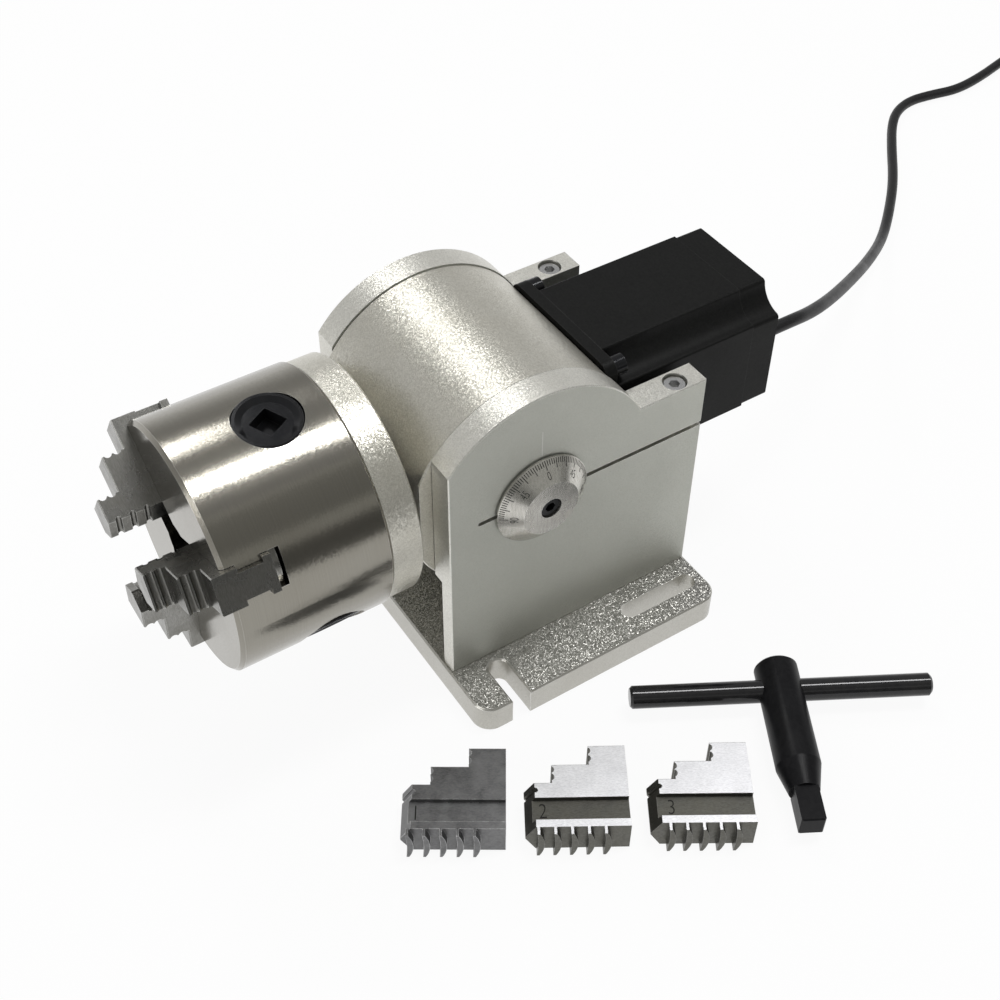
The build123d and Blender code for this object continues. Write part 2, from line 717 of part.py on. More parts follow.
# Faceplate
with BuildPart() as faceplate:
    with BuildSketch(cross_plane(faceplate_front_y)):
        Circle(faceplate_radius)
    extrude(amount=faceplate_thickness)
    chamfer(faceplate.edges().filter_by(GeomType.CIRCLE), faceplate_chamfer)
    with BuildSketch(cross_plane(faceplate_front_y)):
        Circle(register_radius)
    extrude(amount=-register_height)
    with BuildSketch(cross_plane(faceplate_rear_y - spindle_flange_thickness)):
        Circle(spindle_flange_radius + seat_clearance)
    extrude(amount=spindle_flange_thickness, mode=Mode.SUBTRACT)
    with BuildSketch(cross_plane(faceplate_front_y - register_height)):
        Circle(spindle_pilot_radius + seat_clearance)
        with PolarLocations(faceplate_screw_circle, 4, 45):
            Circle(faceplate_screw_radius + seat_clearance)
    extrude(amount=register_height + faceplate_thickness, mode=Mode.SUBTRACT)
    with BuildSketch(cross_plane(faceplate_front_y - register_height)):
        with PolarLocations(faceplate_screw_circle, 4, 45):
            Circle(faceplate_screw_head_radius + socket_gap)
    extrude(amount=faceplate_screw_head_height + socket_gap, mode=Mode.SUBTRACT)
    with BuildSketch(cross_plane(faceplate_rear_y)):
        with PolarLocations(mount_screw_circle, 3, 90):
            Circle(mount_screw_head_radius + socket_gap)
    extrude(amount=-mount_screw_head_height - socket_gap, mode=Mode.SUBTRACT)
    with BuildSketch(cross_plane(faceplate_rear_y)):
        with PolarLocations(mount_screw_circle, 3, 90):
            Circle(mount_screw_radius + seat_clearance)
    extrude(amount=-faceplate_thickness, mode=Mode.SUBTRACT)
finish(faceplate, "faceplate")

faceplate_screw_planes = []
for corner in range(4):
    a = radians(45 + 90 * corner)
    faceplate_screw_planes.append(Plane(
        origin=(faceplate_screw_circle * cos(a), faceplate_front_y - register_height + socket_gap,
                pivot_height + faceplate_screw_circle * sin(a)),
        x_dir=(1, 0, 0), z_dir=(0, 1, 0)))
socket_screw(faceplate_screw_planes, "faceplate_screws", faceplate_screw_radius - seat_clearance,
             faceplate_screw_head_radius, faceplate_screw_head_height, faceplate_screw_length,
             faceplate_screw_hex, faceplate_screw_hex_depth)

mount_screw_planes = []
for corner in range(3):
    a = radians(-90 - 120 * corner)
    mount_screw_planes.append(Plane(
        origin=(mount_screw_circle * cos(a), faceplate_rear_y - socket_gap,
                pivot_height + mount_screw_circle * sin(a)),
        x_dir=(1, 0, 0), z_dir=(0, -1, 0)))
socket_screw(mount_screw_planes, "chuck_mount_screws", mount_screw_radius, mount_screw_head_radius,
             mount_screw_head_height, mount_screw_length, mount_screw_hex, mount_screw_hex_depth)


def jaw_slot_points(width, rail, depth):
    # Slot open to the front, with a rail standing in from each side
    half = width / 2
    rail_top = jaw_groove_top + slide_clearance
    rail_bottom = jaw_groove_top + jaw_groove_width - slide_clearance
    return ((-half, -1), (half, -1), (half, rail_top), (half - rail, rail_top),
            (half - rail, rail_bottom), (half, rail_bottom), (half, depth), (-half, depth),
            (-half, rail_bottom), (-half + rail, rail_bottom), (-half + rail, rail_top),
            (-half, rail_top), (-half, -1))


# Chuck body: front wall with jaw guides, outer wall with pinion holes, central hub
slot_width = jaw_width + 2 * slide_clearance
cavity_front_depth = spiral_crest_depth - cavity_gap
pinion_hole_radius = pinion_head_radius + pinion_hole_gap
with BuildPart() as chuck_body:
    with BuildSketch(depth_plane(0)):
        Circle(chuck_radius)
    extrude(amount=chuck_length)
    chamfer(chuck_body.edges().filter_by(GeomType.CIRCLE).sort_by(Axis.Y)[0], chuck_front_chamfer)
    chamfer(chuck_body.edges().filter_by(GeomType.CIRCLE).sort_by(Axis.Y)[-1], chuck_rear_chamfer)
    with BuildSketch(depth_plane(cavity_front_depth)):
        Circle(cavity_radius)
        Circle(hub_radius, mode=Mode.SUBTRACT)
    extrude(amount=chuck_length, mode=Mode.SUBTRACT)
    with BuildSketch(depth_plane(chuck_length - cover_flange_thickness)):
        Circle(cover_flange_radius + seat_clearance)
        Circle(hub_radius, mode=Mode.SUBTRACT)
    extrude(amount=cover_flange_thickness, mode=Mode.SUBTRACT)
    with BuildSketch(depth_plane(chuck_length - register_height - cut_margin)):
        Circle(cavity_radius)
    extrude(amount=register_height + cut_margin, mode=Mode.SUBTRACT)
    with BuildSketch(depth_plane(0)):
        Circle(chuck_bore_radius)
    extrude(amount=chuck_length, mode=Mode.SUBTRACT)
    for angle in jaw_angles:
        with BuildSketch(radial_plane(angle, 0)):
            with BuildLine():
                Polyline(*jaw_slot_points(slot_width, jaw_groove_recess, slot_bottom_depth))
            make_face()
        extrude(amount=chuck_radius + 1, mode=Mode.SUBTRACT)
    for angle in pinion_angles:
        with BuildSketch(radial_plane(angle, hub_radius + 2, pinion_depth)):
            Circle(pinion_hole_radius)
        extrude(amount=chuck_radius, mode=Mode.SUBTRACT)
        with BuildSketch(radial_plane(angle, pinion_stub_tip_rho - bore_clearance, pinion_depth)):
            Circle(pinion_stub_radius + running_clearance)
        extrude(amount=hub_radius, mode=Mode.SUBTRACT)
    with BuildSketch(depth_plane(chuck_length - cover_flange_thickness)):
        with PolarLocations(cover_screw_circle, 6, cover_screw_start):
            Circle(cover_screw_radius)
    extrude(amount=-(cover_screw_length - cover_flange_thickness), mode=Mode.SUBTRACT)
    with BuildSketch(depth_plane(chuck_length - cover_flange_thickness)):
        with PolarLocations(pinion_groove_rho, 3, -pinion_angles[0]):
            Circle(pinion_pin_radius + seat_clearance)
    extrude(amount=-cover_flange_thickness, mode=Mode.SUBTRACT)
finish(chuck_body, "chuck_body")

# Thick rear cover of the chuck, with a pocket for each pinion
with BuildPart() as chuck_cover:
    with BuildSketch(depth_plane(cover_front_depth)):
        Circle(cavity_radius - seat_clearance)
    extrude(amount=chuck_length - cover_front_depth)
    with BuildSketch(depth_plane(chuck_length - cover_flange_thickness)):
        Circle(cover_flange_radius)
    extrude(amount=cover_flange_thickness)
    with BuildSketch(depth_plane(chuck_length)):
        Circle(register_radius + seat_clearance)
    extrude(amount=-register_height - cut_margin, mode=Mode.SUBTRACT)
    with BuildSketch(depth_plane(cover_front_depth)):
        Circle(hub_radius + seat_clearance)
    extrude(amount=chuck_length, mode=Mode.SUBTRACT)
    for angle in pinion_angles:
        with BuildSketch(radial_plane(angle, hub_radius - 2, pinion_depth)):
            Circle(pinion_pocket_radius)
        extrude(amount=chuck_radius, mode=Mode.SUBTRACT)
        with BuildSketch(radial_plane(angle, bevel_outer_rho, pinion_depth)):
            Circle(pinion_hole_radius)
        extrude(amount=chuck_radius, mode=Mode.SUBTRACT)
    with BuildSketch(depth_plane(chuck_length)):
        with PolarLocations(mount_screw_circle, 3, 90):
            Circle(mount_screw_radius + seat_clearance)
    extrude(amount=-mount_screw_reach - 1, mode=Mode.SUBTRACT)
    with BuildSketch(depth_plane(chuck_length)):
        with PolarLocations(cover_screw_circle, 6, cover_screw_start):
            Circle(cover_screw_radius)
        with PolarLocations(pinion_groove_rho, 3, -pinion_angles[0]):
            Circle(pinion_pin_radius + seat_clearance)
    extrude(amount=-cover_flange_thickness, mode=Mode.SUBTRACT)
    with BuildSketch(depth_plane(chuck_length)):
        with PolarLocations(cover_screw_circle, 6, cover_screw_start):
            Circle(cover_screw_head_radius + seat_clearance)
    extrude(amount=-cover_screw_head_height - seat_clearance, mode=Mode.SUBTRACT)
finish(chuck_cover, "chuck_cover")

cover_screw_planes = []
for corner in range(6):
    a = radians(-cover_screw_start - 60 * corner)
    cover_screw_planes.append(Plane(
        origin=(cover_screw_circle * cos(a), chuck_face_y + chuck_length - seat_clearance,
                pivot_height + cover_screw_circle * sin(a)),
        x_dir=(1, 0, 0), z_dir=(0, -1, 0)))
socket_screw(cover_screw_planes, "cover_screws", cover_screw_radius - seat_clearance,
             cover_screw_head_radius, cover_screw_head_height, cover_screw_length - 1,
             cover_screw_hex, cover_screw_hex_depth)

# Pins from the rear that keep each pinion in its hole
pin_end_depth = pinion_depth + pinion_head_radius - pinion_groove_depth + bore_clearance
with BuildPart() as pinion_pins:
    with BuildSketch(depth_plane(pin_end_depth)):
        with PolarLocations(pinion_groove_rho, 3, -pinion_angles[0]):
            Circle(pinion_pin_radius)
    extrude(amount=chuck_length - pin_end_depth - seat_clearance)
finish(pinion_pins, "pinion_pins")

# Scroll plate: spiral in front, bevel ring behind
spiral_turns = (spiral_outer_rho - spiral_inner_rho) / scroll_pitch
spiral_steps = int(spiral_turns * 12)
spiral_start = jaw_angles[0]
flank_slope = tan(radians(bevel_pressure_angle))
bevel_pitch_radius = bevel_outer_rho * pinion_teeth / scroll_teeth


def gear_depth(rho, height):
    # Depth on the bevel ring; the height counts from the pitch cone towards the pinion
    return pinion_depth + (height - bevel_pitch_radius) * rho / bevel_outer_rho


def spiral_points(offset):
    points = []
    for step in range(spiral_steps + 1):
        turns = spiral_turns * step / spiral_steps
        a = radians(spiral_start + 360 * turns)
        r = spiral_inner_rho + scroll_pitch * turns + offset
        points.append((r * cos(a), -r * sin(a)))
    return points


def bevel_gap_points(rho):
    # Gap between two teeth of the bevel ring, wider at its mouth
    half_pitch = pi * bevel_pitch_radius / pinion_teeth / 2
    half_floor = half_pitch + bevel_backlash / 4 - bevel_dedendum * flank_slope
    half_mouth = half_pitch + bevel_backlash / 4 + 2 * bevel_addendum * flank_slope
    here = rho / bevel_outer_rho
    floor = gear_depth(rho, -bevel_dedendum)
    mouth = gear_depth(rho, 2 * bevel_addendum)
    return ((-half_floor * here, floor), (half_floor * here, floor), (half_mouth * here, mouth),
            (-half_mouth * here, mouth), (-half_floor * here, floor))


with BuildPart() as bevel_gap:
    for rho in (bevel_inner_rho - 1, scroll_radius + 1):
        with BuildSketch(radial_plane(pinion_angles[0], rho)):
            with BuildLine():
                Polyline(*bevel_gap_points(rho))
            make_face()
    loft(ruled=True)
gap_tools = [bevel_gap.part.rotate(spindle_axis, 360 * k / scroll_teeth) for k in range(scroll_teeth)]

scroll_bore_radius = hub_radius + running_clearance
ring_back_y = chuck_face_y + spiral_root_depth + scroll_plate_thickness
with BuildPart() as scroll_plate:
    with BuildSketch(lengthwise):
        with BuildLine():
            Polyline((scroll_bore_radius, chuck_face_y + spiral_root_depth),
                     (scroll_radius, chuck_face_y + spiral_root_depth),
                     (scroll_radius, chuck_face_y + gear_depth(scroll_radius, bevel_addendum)),
                     (bevel_inner_rho, chuck_face_y + gear_depth(bevel_inner_rho, bevel_addendum)),
                     (bevel_inner_rho, ring_back_y), (scroll_bore_radius, ring_back_y),
                     (scroll_bore_radius, chuck_face_y + spiral_root_depth))
        make_face()
    revolve(axis=spindle_axis)
    with BuildSketch(depth_plane(spiral_root_depth)):
        with BuildLine():
            inside = Spline(*spiral_points(-spiral_land / 2))
            outside = Spline(*spiral_points(spiral_land / 2))
            Line(inside @ 0, outside @ 0)
            Line(inside @ 1, outside @ 1)
        make_face()
    extrude(amount=-spiral_depth)
    add(gap_tools, mode=Mode.SUBTRACT)
finish(scroll_plate, "scroll_plate")


def involute_half_angle(radius):
    # Half the angle that a pinion tooth takes up at one radius of its large end
    base = bevel_pitch_radius * cos(radians(bevel_pressure_angle))
    pitch_half = pi / pinion_teeth / 2 - bevel_backlash / 4 / bevel_pitch_radius
    pitch_involute = flank_slope - radians(bevel_pressure_angle)
    slope = sqrt(max((radius / base) ** 2 - 1, 0))
    return pitch_half + pitch_involute - (slope - atan(slope))


def pinion_points(scale):
    base = bevel_pitch_radius * cos(radians(bevel_pressure_angle))
    root = bevel_pitch_radius - bevel_dedendum
    tip = bevel_pitch_radius + bevel_addendum
    flank = [(root, involute_half_angle(base))]
    for part_way in (0, 0.4, 0.7, 1):
        radius = base + part_way * (tip - base)
        flank.append((radius, involute_half_angle(radius)))
    points = []
    for tooth in range(pinion_teeth):
        middle = radians(-90 + 360 * tooth / pinion_teeth)
        for radius, half in flank:
            points.append((radius * scale * cos(middle - half), radius * scale * sin(middle - half)))
        for radius, half in reversed(flank):
            points.append((radius * scale * cos(middle + half), radius * scale * sin(middle + half)))
    points.append(points[0])
    return points


def pinion(angle, name):
    # Bevel pinion with a square socket in its head and a stub in the hub
    head_groove_start = pinion_groove_rho - pinion_groove_width / 2
    with BuildPart() as body:
        for rho in (pinion_gear_rho, bevel_outer_rho):
            with BuildSketch(radial_plane(angle, rho, pinion_depth)):
                with BuildLine():
                    Polyline(*pinion_points(rho / bevel_outer_rho))
                make_face()
        loft(ruled=True)
        with BuildSketch(radial_plane(angle, pinion_stub_tip_rho, pinion_depth)):
            Circle(pinion_stub_radius)
        extrude(amount=pinion_gear_rho - pinion_stub_tip_rho)
        with BuildSketch(radial_plane(angle, bevel_outer_rho, pinion_depth)):
            Circle(pinion_neck_radius)
        extrude(amount=pinion_head_rho - bevel_outer_rho)
        with BuildSketch(radial_plane(angle, pinion_head_rho, pinion_depth)):
            Circle(pinion_head_radius)
        extrude(amount=pinion_face_rho - pinion_head_rho)
        outer_rim = body.edges().filter_by(GeomType.CIRCLE).group_by(SortBy.RADIUS)[-1]
        chamfer(outer_rim, fine_chamfer)
        with BuildSketch(radial_plane(angle, head_groove_start, pinion_depth)):
            Circle(pinion_head_radius)
            Circle(pinion_head_radius - pinion_groove_depth, mode=Mode.SUBTRACT)
        extrude(amount=pinion_groove_width, mode=Mode.SUBTRACT)
        with BuildSketch(radial_plane(angle, pinion_face_rho, pinion_depth)):
            Circle(pinion_dish_radius)
        extrude(amount=-pinion_dish_depth, taper=55, mode=Mode.SUBTRACT)
        with BuildSketch(radial_plane(angle, pinion_face_rho, pinion_depth)):
            Rectangle(pinion_socket, pinion_socket, rotation=pinion_socket_turn)
        extrude(amount=-pinion_socket_depth, mode=Mode.SUBTRACT)
    finish(body, name)
    return body


for number, angle in enumerate(pinion_angles, 1):
    pinion(angle, f"pinion_{number}")


def stepped_profile(length, steps):
    # Side view of a jaw: along, and depth from the chuck face
    points = [(0, jaw_strip_bottom), (0, jaw_groove_top - steps[0][1])]
    for index, (reach, height) in enumerate(steps):
        points.append((reach, jaw_groove_top - height))
        if index + 1 < len(steps):
            points.append((reach, jaw_groove_top - steps[index + 1][1]))
    points.append((length, jaw_strip_bottom))
    points.append(points[0])
    return points


def grip_notches(steps):
    # Two shallow round notches across each riser, cut from its open side
    spots = []
    for (reach, height), (_, next_height) in zip(steps, steps[1:]):
        low = min(height, next_height)
        rise = abs(height - next_height)
        open_side = 1 if height > next_height else -1
        for share in grip_notch_shares:
            spots.append((reach + open_side * grip_notch_offset, jaw_groove_top - low - rise * share))
    return spots


def jaw(plane, name, length, steps, first_tooth, nose_notches):
    # Stepped jaw with guide grooves in both flanks and curved teeth below
    half = jaw_width / 2
    half_nose = nose_flat / 2
    with BuildPart() as body:
        with BuildSketch(plane):
            with BuildLine():
                Polyline(*stepped_profile(length, steps))
            make_face()
            with Locations(*grip_notches(steps)):
                Circle(grip_notch_radius, mode=Mode.SUBTRACT)
        extrude(amount=half, both=True)
        step_edges = body.edges().filter_by(lambda e: abs(e.tangent_at(0.5).dot(plane.x_dir)) > 0.99)
        top_edges = step_edges.filter_by(
            lambda e: plane.to_local_coords(e.center()).Y < jaw_groove_top)
        chamfer(top_edges, jaw_edge_chamfer)
        for side in (-1, 1):
            with BuildSketch(plane.offset(side * half)):
                with Locations((length / 2, jaw_groove_top + jaw_groove_width / 2)):
                    Rectangle(length + 2, jaw_groove_width)
            extrude(amount=-side * jaw_groove_recess, mode=Mode.SUBTRACT)
        plan = Plane(origin=plane.from_local_coords((0, jaw_strip_bottom, 0)), x_dir=plane.x_dir,
                     z_dir=plane.y_dir)
        with BuildSketch(plan.offset(-2 * jaw_strip_bottom - steps[0][1] - steps[-1][1])):
            for side in (-1, 1):
                with BuildLine():
                    Polyline((0, side * half_nose), (nose_length, side * half),
                             (nose_length, side * 2 * half),
                             (-1, side * 2 * half), (-1, side * half_nose), (0, side * half_nose))
                make_face()
        extrude(amount=4 * jaw_strip_bottom + 2 * steps[0][1] + 2 * steps[-1][1], mode=Mode.SUBTRACT)
        for side in (-1, 1):
            along_nose = plane.x_dir * nose_length + plane.z_dir * side * (half - half_nose)
            with BuildSketch(Plane(origin=plane.from_local_coords((-nose_notch_offset, 0, 0)),
                                   x_dir=plane.y_dir, z_dir=along_nose)):
                with Locations(*[(depth, 0) for depth in nose_notches]):
                    Circle(nose_notch_radius)
            extrude(amount=2 * half, mode=Mode.SUBTRACT)
        with BuildSketch(plan):
            inner_bend = jaw_tooth_inner_curve - sqrt(jaw_tooth_inner_curve ** 2 - half ** 2)
            outer_bend = jaw_tooth_outer_curve - sqrt(jaw_tooth_outer_curve ** 2 - half ** 2)
            for tooth in range(jaw_tooth_count):
                near = first_tooth + tooth * scroll_pitch - jaw_tooth_thickness / 2
                far = near + jaw_tooth_thickness
                with BuildLine():
                    ThreePointArc((near - inner_bend, -half), (near, 0), (near - inner_bend, half))
                    ThreePointArc((far - outer_bend, -half), (far, 0), (far - outer_bend, half))
                    Line((near - inner_bend, -half), (far - outer_bend, -half))
                    Line((near - inner_bend, half), (far - outer_bend, half))
                make_face()
        extrude(amount=jaw_tooth_height)
    finish(body, name)
    return body


inner_nose_notches = tuple(jaw_groove_top - inner_jaw_steps[0][1] + drop for drop in inner_notch_drops)
outer_nose_notches = (jaw_groove_top - outer_notch_drop,)
for number, angle in enumerate(jaw_angles, 1):
    a = radians(angle)
    jaw_plane = Plane(origin=(jaw_tip_rho * cos(a), chuck_face_y, pivot_height + jaw_tip_rho * sin(a)),
                      x_dir=(cos(a), 0, sin(a)), z_dir=(-sin(a), 0, cos(a)))
    first_gap_rho = spiral_inner_rho + scroll_pitch * ((angle - spiral_start) / 360 + 0.5)
    while first_gap_rho - jaw_tip_rho < nose_length + jaw_tooth_thickness / 2:
        first_gap_rho += scroll_pitch
    jaw(jaw_plane, f"jaw_{number}", inner_jaw_length, inner_jaw_steps, first_gap_rho - jaw_tip_rho,
        inner_nose_notches)

for number, (turn, place) in enumerate(zip(spare_jaw_turns, spare_jaw_places), 1):
    a = radians(turn)
    groove_line = (place[0] - jaw_groove_top * sin(a), place[1] + jaw_groove_top * cos(a))
    jaw_plane = Plane(origin=(groove_line[0], groove_line[1], jaw_width / 2), x_dir=(cos(a), sin(a), 0),
                      z_dir=(0, 0, -1))
    jaw(jaw_plane, f"spare_jaw_{number}", outer_jaw_length, outer_jaw_steps,
        spare_first_tooth + (number - 1) * scroll_pitch / 3, outer_nose_notches)

# Chuck key: cross bar through a round shank with a square end
key_angle = radians(key_direction)
key_axis = (cos(key_angle), sin(key_angle), 0)


def key_plane(reach):
    return Plane(origin=(key_centre[0] + reach * key_axis[0], key_centre[1] + reach * key_axis[1],
                         key_shank_radius), x_dir=(0, 0, 1), z_dir=key_axis)


bar_plane = Plane(origin=(key_centre[0], key_centre[1], key_shank_radius), x_dir=(0, 0, 1),
                  z_dir=(-sin(key_angle), cos(key_angle), 0))
key_taper_end = key_shank_length + key_taper_length
with BuildPart() as key_shank:
    with BuildSketch(key_plane(-key_head_length)):
        Circle(key_shank_radius)
    extrude(amount=key_head_length + key_shank_length)
    chamfer(key_shank.faces().sort_by(Axis((0, 0, 0), key_axis))[0].edges(), key_chamfer)
    with BuildSketch(key_plane(key_shank_length)):
        Circle(key_shank_radius)
    with BuildSketch(key_plane(key_taper_end)):
        Circle(key_neck_radius)
    loft()
    with BuildSketch(key_plane(key_taper_end)):
        Rectangle(key_square, key_square)
    extrude(amount=key_square_length)
    chamfer(key_shank.faces().sort_by(Axis((0, 0, 0), key_axis))[-1].edges(), plain_chamfer)
    with BuildSketch(bar_plane):
        Circle(key_bar_radius)
    extrude(amount=2 * key_shank_radius, both=True, mode=Mode.SUBTRACT)
finish(key_shank, "key_shank")

with BuildPart() as key_bar:
    with BuildSketch(bar_plane):
        Circle(key_bar_radius - seat_clearance)
    extrude(amount=key_bar_length / 2, both=True)
    chamfer(key_bar.edges().filter_by(GeomType.CIRCLE), key_chamfer)
finish(key_bar, "key_bar")

# Motor cable: gland, the run in view, a coil of the rest and its plug
gland_place = cable_route[0]
with BuildPart() as cable_gland:
    with BuildSketch(Plane(origin=(gland_place[0], motor_rear_y, gland_place[2]), x_dir=(1, 0, 0),
                           z_dir=(0, 1, 0))):
        Circle(gland_radius)
    extrude(amount=gland_length)
    chamfer(cable_gland.faces().sort_by(Axis.Y)[-1].edges(), gland_chamfer)
    with BuildSketch(Plane(origin=gland_place, x_dir=(1, 0, 0), z_dir=(0, 1, 0))):
        Circle(cable_diameter / 2 + seat_clearance)
    extrude(amount=gland_length, mode=Mode.SUBTRACT)
finish(cable_gland, "cable_gland")

route = [Vector(*point) for point in cable_route]
bend_radii = []
for before, here, after in zip(route, route[1:], route[2:]):
    turn = radians((here - before).get_angle(after - here))
    shorter = min((here - before).length, (after - here).length)
    bend_radii.append(bend_share * shorter / tan(turn / 2))
print("cable bend radii", [round(radius) for radius in bend_radii])
with BuildPart() as motor_cable:
    with BuildLine() as cable_line:
        FilletPolyline(*route, radius=bend_radii)
    with BuildSketch(Plane(origin=route[0], x_dir=(1, 0, 0), z_dir=(route[1] - route[0]).normalized())):
        Circle(cable_diameter / 2)
    sweep()
cable_length = sum(edge.length for edge in cable_line.edges())
cable_volume = pi * (cable_diameter / 2) ** 2 * cable_length
print("cable length", round(cable_length), "volume share", round(motor_cable.part.volume / cable_volume, 4))
finish(motor_cable, "motor_cable")

last = (route[-1] - route[-2]).normalized()
aside = Vector(last.Y, -last.X, 0)
coil_middle = route[-1] + last * coil_lead + aside * (coil_radius + coil_cord_offset)
with BuildPart() as cable_coil:
    with BuildSketch(Plane.XY):
        with Locations((coil_middle.X, coil_middle.Y)):
            Circle(coil_radius + coil_band / 2)
            Circle(coil_radius - coil_band / 2, mode=Mode.SUBTRACT)
    extrude(amount=coil_height)
    fillet(cable_coil.edges().filter_by(GeomType.CIRCLE), cable_diameter / 2)
    with BuildSketch(Plane(origin=route[-1], x_dir=(0, 0, 1), z_dir=last)):
        Circle(cable_diameter / 2)
    extrude(amount=coil_lead + plug_lead)
finish(cable_coil, "cable_coil")

plug_start = route[-1] + last * (coil_lead + plug_lead)
with BuildPart() as cable_plug:
    with BuildSketch(Plane(origin=(plug_start.X, plug_start.Y, plug_radius), x_dir=(0, 0, 1), z_dir=last)):
        Circle(plug_radius)
    extrude(amount=plug_length)
    chamfer(cable_plug.edges().filter_by(GeomType.CIRCLE), key_chamfer)
finish(cable_plug, "cable_plug")
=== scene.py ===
import math

import bmesh
import bpy
from mathutils import Matrix, Vector


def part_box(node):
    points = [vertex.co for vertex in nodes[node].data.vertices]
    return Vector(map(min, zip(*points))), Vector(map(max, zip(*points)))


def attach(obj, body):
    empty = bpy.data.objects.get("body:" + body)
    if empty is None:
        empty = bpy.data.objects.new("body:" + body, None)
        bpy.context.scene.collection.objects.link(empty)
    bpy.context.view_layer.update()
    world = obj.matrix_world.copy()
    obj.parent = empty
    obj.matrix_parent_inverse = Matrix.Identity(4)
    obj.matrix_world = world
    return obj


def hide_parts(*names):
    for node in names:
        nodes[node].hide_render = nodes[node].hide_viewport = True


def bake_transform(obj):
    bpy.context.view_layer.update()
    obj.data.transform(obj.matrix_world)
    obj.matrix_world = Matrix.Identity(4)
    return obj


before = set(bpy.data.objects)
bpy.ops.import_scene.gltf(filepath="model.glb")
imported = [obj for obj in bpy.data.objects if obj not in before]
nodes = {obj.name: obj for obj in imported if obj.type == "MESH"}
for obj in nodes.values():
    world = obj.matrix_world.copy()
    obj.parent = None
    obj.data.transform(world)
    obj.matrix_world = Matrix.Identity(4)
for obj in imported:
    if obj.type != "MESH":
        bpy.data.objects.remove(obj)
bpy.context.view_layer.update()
scene = bpy.context.scene
scene.view_settings.view_transform = "Standard"
mm = 0.001
print("frame loaded:", len(nodes), "nodes")

# camera
viewCamera = {"azimuth": 56.8, "elevation": 45.8, "roll": 0.5, "distance": 663.4 * mm,
              "aside": 11.75 * mm, "lift": 34.1 * mm, "lens": 53.75, "sensor": 36.0}


def placeCamera(s):
    azimuth, elevation, roll = (math.radians(s[k]) for k in ("azimuth", "elevation", "roll"))
    back = Vector((math.sin(azimuth) * math.cos(elevation),
                   -math.cos(azimuth) * math.cos(elevation), math.sin(elevation)))
    right = Vector((math.cos(azimuth), math.sin(azimuth), 0))
    up = back.cross(right)
    rightRolled = right * math.cos(roll) + up * math.sin(roll)
    upRolled = up * math.cos(roll) - right * math.sin(roll)
    data = bpy.data.cameras.new("benchCamera")
    data.lens = s["lens"]
    data.sensor_width = s["sensor"]
    data.clip_start = 0.01
    data.clip_end = 60
    camera = bpy.data.objects.new("benchCamera", data)
    scene.collection.objects.link(camera)
    turn = Matrix((rightRolled, upRolled, back)).transposed().to_4x4()
    camera.matrix_world = turn
    camera.location = back * s["distance"] + rightRolled * s["aside"] + upRolled * s["lift"]
    scene.camera = camera


placeCamera(viewCamera)
print("camera placed")


# small tools
def linkPiece(name, mesh, material=None):
    piece = bpy.data.objects.new(name, mesh)
    scene.collection.objects.link(piece)
    if material:
        mesh.materials.append(material)
    return piece


def meshFrom(name, points, faces):
    mesh = bpy.data.meshes.new(name)
    mesh.from_pydata([tuple(p) for p in points], [], faces)
    mesh.validate()
    return mesh


def tidyMesh(mesh, sharpAngle=35):
    # normals outwards, smooth except over sharp edges
    bm = bmesh.new()
    bm.from_mesh(mesh)
    bmesh.ops.recalc_face_normals(bm, faces=bm.faces)
    bm.to_mesh(mesh)
    bm.free()
    mesh.shade_smooth()
    mesh.set_sharp_from_angle(angle=math.radians(sharpAngle))
    return mesh


def meshFromCurve(name, curve):
    # the mesh that Blender makes of a curve or a text
    holder = bpy.data.objects.new(name, curve)
    scene.collection.objects.link(holder)
    bpy.context.view_layer.update()
    mesh = bpy.data.meshes.new_from_object(holder.evaluated_get(bpy.context.evaluated_depsgraph_get()))
    bpy.data.objects.remove(holder)
    return mesh


def ringFaces(rings, sides):
    # the walls between rings of points, and a cap at either end
    faces = []
    for low, high in zip(rings, rings[1:]):
        for k in range(sides):
            faces.append((low + k, low + (k + 1) % sides, high + (k + 1) % sides, high + k))
    faces.append(tuple(reversed(range(sides))))
    faces.append(tuple(range(rings[-1], rings[-1] + sides)))
    return faces


def axesAlong(direction):
    along = Vector(direction).normalized()
    aside = along.orthogonal().normalized()
    return along, aside, along.cross(aside)


# shared shader groups
def newGroup(name, inputs, outputs):
    group = bpy.data.node_groups.new(name, "ShaderNodeTree")
    for label, kind, value in inputs:
        socket = group.interface.new_socket(name=label, in_out="INPUT", socket_type=kind)
        socket.default_value = value
    for label, kind in outputs:
        group.interface.new_socket(name=label, in_out="OUTPUT", socket_type=kind)
    start = group.nodes.new("NodeGroupInput")
    end = group.nodes.new("NodeGroupOutput")
    start.location = (-900, 0)
    end.location = (600, 0)
    return group, start, end


def put(tree, kind, x=0, y=0, options=None, **sockets):
    node = tree.nodes.new(kind)
    node.location = (x, y)
    for key, value in (options or {}).items():
        setattr(node, key, value)
    for key, value in sockets.items():
        socket = node.inputs[int(key[1:])] if key[0] == "i" and key[1:].isdigit() else node.inputs[key]
        if isinstance(value, bpy.types.NodeSocket):
            tree.links.new(value, socket)
        else:
            socket.default_value = value
    return node


def math2(tree, operation, a, b, x=0, y=0, clamp=False):
    return put(tree, "ShaderNodeMath", x, y, {"operation": operation, "use_clamp": clamp}, i0=a, i1=b).outputs[0]


def mixColour(tree, factor, a, b, x=0, y=0):
    return put(tree, "ShaderNodeMix", x, y, {"data_type": "RGBA"}, i0=factor, i6=a, i7=b).outputs[2]


def spread(tree, value, low, high, toLow, toHigh, x=0, y=0):
    return put(tree, "ShaderNodeMapRange", x, y, None, i0=value, i1=low, i2=high, i3=toLow, i4=toHigh).outputs[0]


